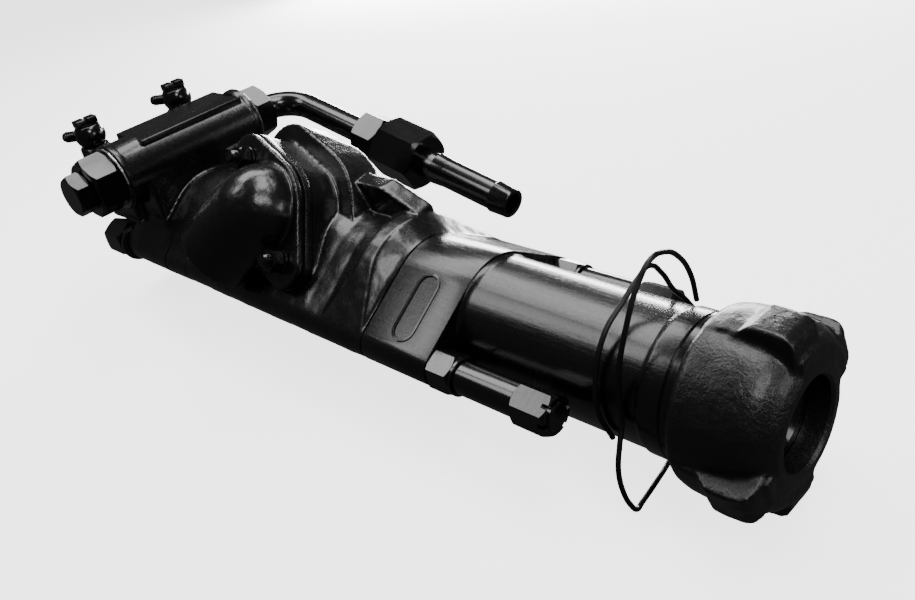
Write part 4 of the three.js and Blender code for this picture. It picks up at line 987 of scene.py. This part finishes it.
def makeNeck():
    p = pipeSize
    pipe = cutAway(pipeWall(p["radius"]), pipeWall(p["bore"], 3))
    placePiece(putAt(pipe, neckFrame), "gooseneckPipe", "gooseneck_pipe")
    body = hexBar(39, 108, 135, 2.8, 0.7)
    weld(body, turned([(130, 16.6), (150.2, 16.6), (151, 15.8)], 72))
    cutAway(body, bar(105, 126.3, 11.8), bar(120, 155, p["bore"]))
    placePiece(putAt(body, legFrame), "unionBody", "union_body", angle=25)
    nut = hexBar(45.5, 137, 183, 3.2, 0.8, turn=0)
    cutAway(nut, bar(130, 170, 16.9), bar(160, 190, 12.5))
    placePiece(putAt(nut, legFrame), "unionNut", "union_nut", angle=25)
    barb, r, bore = 13.4, 12.2, p["bore"]
    profile = [(151.3, bore), (151.3, 16.6), (157.3, 16.6), (157.3, r)]
    for x in (197, 262):
        profile += [(x, r), (x + 0.5, barb - 0.3), (x + 1.1, barb), (x + 13, r + 0.1), (x + 13.5, r)]
    profile += [(278.6, r), (279.6, r - 0.5), (280, r - 1.3), (280, bore + 0.8), (279, bore), (151.3, bore)]
    placePiece(putAt(turned(profile, 96), legFrame), "hoseNipple", "hose_nipple")


makePlugs()
makeNeck()
print("intake made")


# swing bolts on their pins

swingSize = dict(
    side=46.0, behind=72.0, eyeHeight=90.0, eye=13.5, thick=18.0, pin=4.5, stud=5.0, reach=26.0,
    yaw=216.0,
)


def makeSwingBolt(side, name):
    w = swingSize
    there = Matrix.Translation((stations["throttle"] - w["behind"], side * w["side"], w["eyeHeight"]))
    deselect()
    bpy.ops.mesh.primitive_uv_sphere_add(segments=64, ring_count=32, radius=w["eye"])
    eye = bpy.context.object
    combine(eye, "INTERSECT", [block(-60, 60, -60, 60, -w["thick"] / 2, w["thick"] / 2)])
    softEdges(eye, 1.0, 3, 40)
    thread = threadProfile(12, w["reach"] - 1.2, w["stud"], 2.2, 0.9)
    stud = turned([(0, w["stud"])] + thread + [(w["reach"], 3.6)], 40)
    weld(eye, stud)
    cutAway(eye, putAt(bar(-40, 40, w["pin"] + gap, sides=40), standUp))
    bolt = putAt(eye, there @ Matrix.Rotation(math.radians(w["yaw"]), 4, "Z"))
    placePiece(bolt, "swingBolt" + name.capitalize(), "swing_bolt_" + name, angle=28)
    base = w["thick"] / 2 + gap
    head = block(-5, 5, -10, 10, base, base + 6, 0.7)
    cutAway(head, block(-20, 20, -1.4, 1.4, base + 3, 40))
    shank = bar(-w["thick"] / 2 - 14, base + 1, w["pin"], sides=40)
    weld(head, putAt(shank, standUp))
    placePiece(putAt(head, there), "swingPin" + name.capitalize(), "swing_pin_" + name)


for side, name in ((-1, "left"), (1, "right")):
    makeSwingBolt(side, name)
print("swing bolts made")


# lock wire route: x, angle from +Y in degrees, radius

wireSize = dict(radius=1.6)
wireRoute = [
    (-85, 44, 47), (-85, 61, 60), (-85, 75, 72), (-84, 88, 81), (-84, 96, 83), (-85, 104, 77),
    (-85, 123, 63), (-86, 145, 52), (-86, 164, 46), (-85, 182, 46), (-83, 193, 54), (-81, 202, 63),
    (-79, 213, 70.5), (-77, 222, 75.5), (-76, 227, 76.8), (-77, 231, 73), (-79, 244, 62),
    (-82, 260, 56.5), (-86, 285, 52), (-89, 315, 47), (-91, 345, 46), (-92, 375, 46),
    (-93, 400, 46), (-96, 416, 49), (-99, 428, 58), (-101, 438, 64), (-102, 446, 60),
    (-103, 462, 53), (-104, 485, 50), (-103, 517, 46), (-101, 540, 46), (-97, 568, 46),
]


def makeWire():
    deselect()
    bpy.ops.curve.primitive_bezier_curve_add()
    wire = bpy.context.object
    wire.data.splines.clear()
    line = wire.data.splines.new("BEZIER")
    line.bezier_points.add(len(wireRoute) - 1)
    for point, (x, angle, radius) in zip(line.bezier_points, wireRoute):
        a = math.radians(angle)
        point.co = (x, radius * math.cos(a), radius * math.sin(a))
        point.handle_left_type = point.handle_right_type = "AUTO"
    wire.data.dimensions = "3D"
    wire.data.resolution_u = 10
    wire.data.bevel_depth = wireSize["radius"]
    wire.data.bevel_resolution = 6
    wire.data.use_fill_caps = True
    pick(wire)
    bpy.ops.object.convert(target="MESH")
    wire = settle(bpy.context.object)
    placePiece(wire, "lockWire", "lock_wire", angle=50)


makeWire()
print("wire made")


# studio: floor, lights and camera

studio = dict(
    floor=(0.8, 0.8, 0.8), floorGlow=2.65, world=0.06, lens=36.3, eye=(165.6, -353.8, 328.9),
    right=(0.713, 0.678, -0.181), up=(-0.246, 0.483, 0.840),
)


def addSoftbox(name, spot, aim, width, height, power):
    # spot and aim are in tool millimetres
    light = bpy.data.lights.new(name, "AREA")
    light.shape = "RECTANGLE"
    light.size, light.size_y = width, height
    light.energy = power
    box = bpy.data.objects.new(name, light)
    bpy.context.scene.collection.objects.link(box)
    spot, aim = (toolFrame @ Vector(v) for v in (spot, aim))
    box.location = spot
    box.rotation_euler = (aim - spot).to_track_quat("-Z", "Y").to_euler()
    return box


def makeStudio():
    deselect()
    bpy.ops.mesh.primitive_plane_add(size=30, location=(0, 0, 0))
    floor = bpy.context.object
    floor.name = "studioFloor"
    pale = bpy.data.materials.new("paleFloor")
    pale.use_nodes = True
    shader = pale.node_tree.nodes["Principled BSDF"]
    shader.inputs["Base Color"].default_value = (*studio["floor"], 1)
    shader.inputs["Roughness"].default_value = 0.9
    shader.inputs["Emission Color"].default_value = (1, 1, 1, 1)
    shader.inputs["Emission Strength"].default_value = studio["floorGlow"]
    shader.inputs["Specular IOR Level"].default_value = 0.1
    floor.data.materials.append(pale)
    floor.visible_glossy = False
    floor.visible_diffuse = False
    world = bpy.data.worlds.new("studioWorld")
    world.use_nodes = True
    world.node_tree.nodes["Background"].inputs["Color"].default_value = (1, 1, 1, 1)
    world.node_tree.nodes["Background"].inputs["Strength"].default_value = studio["world"]
    bpy.context.scene.world = world
    addSoftbox("farStrip", (-900, 1150, 90), (-250, 0, 0), 1.3, 0.24, 34)
    addSoftbox("overheadBox", (-900, 300, 1050), (-280, 0, 20), 1.0, 0.4, 9)
    addSoftbox("topBox", (-150, 250, 1150), (-280, 0, 0), 0.8, 0.4, 9)
    addSoftbox("frontBox", (520, -330, 1000), (-250, 0, 30), 0.4, 0.4, 5)
    addSoftbox("nearBox", (-900, -480, 950), (-350, 0, 30), 0.4, 0.4, 3)
    addSoftbox("noseBox", (900, 250, 350), (-40, 0, 0), 0.4, 0.4, 2)


def makeCamera():
    data = bpy.data.cameras.new("photoAngle")
    data.sensor_width = 36
    data.lens = studio["lens"]
    data.clip_start, data.clip_end = 0.01, 100
    camera = bpy.data.objects.new("photoAngle", data)
    bpy.context.scene.collection.objects.link(camera)
    right = Vector(studio["right"]).normalized()
    up = Vector(studio["up"])
    up = (up - right * up.dot(right)).normalized()
    back = right.cross(up)
    turn = Matrix((right, up, back)).transposed().to_4x4()
    camera.matrix_world = Matrix.Translation(toolFrame @ Vector(studio["eye"])) @ turn
    bpy.context.scene.camera = camera


makeStudio()
makeCamera()
print("studio made")
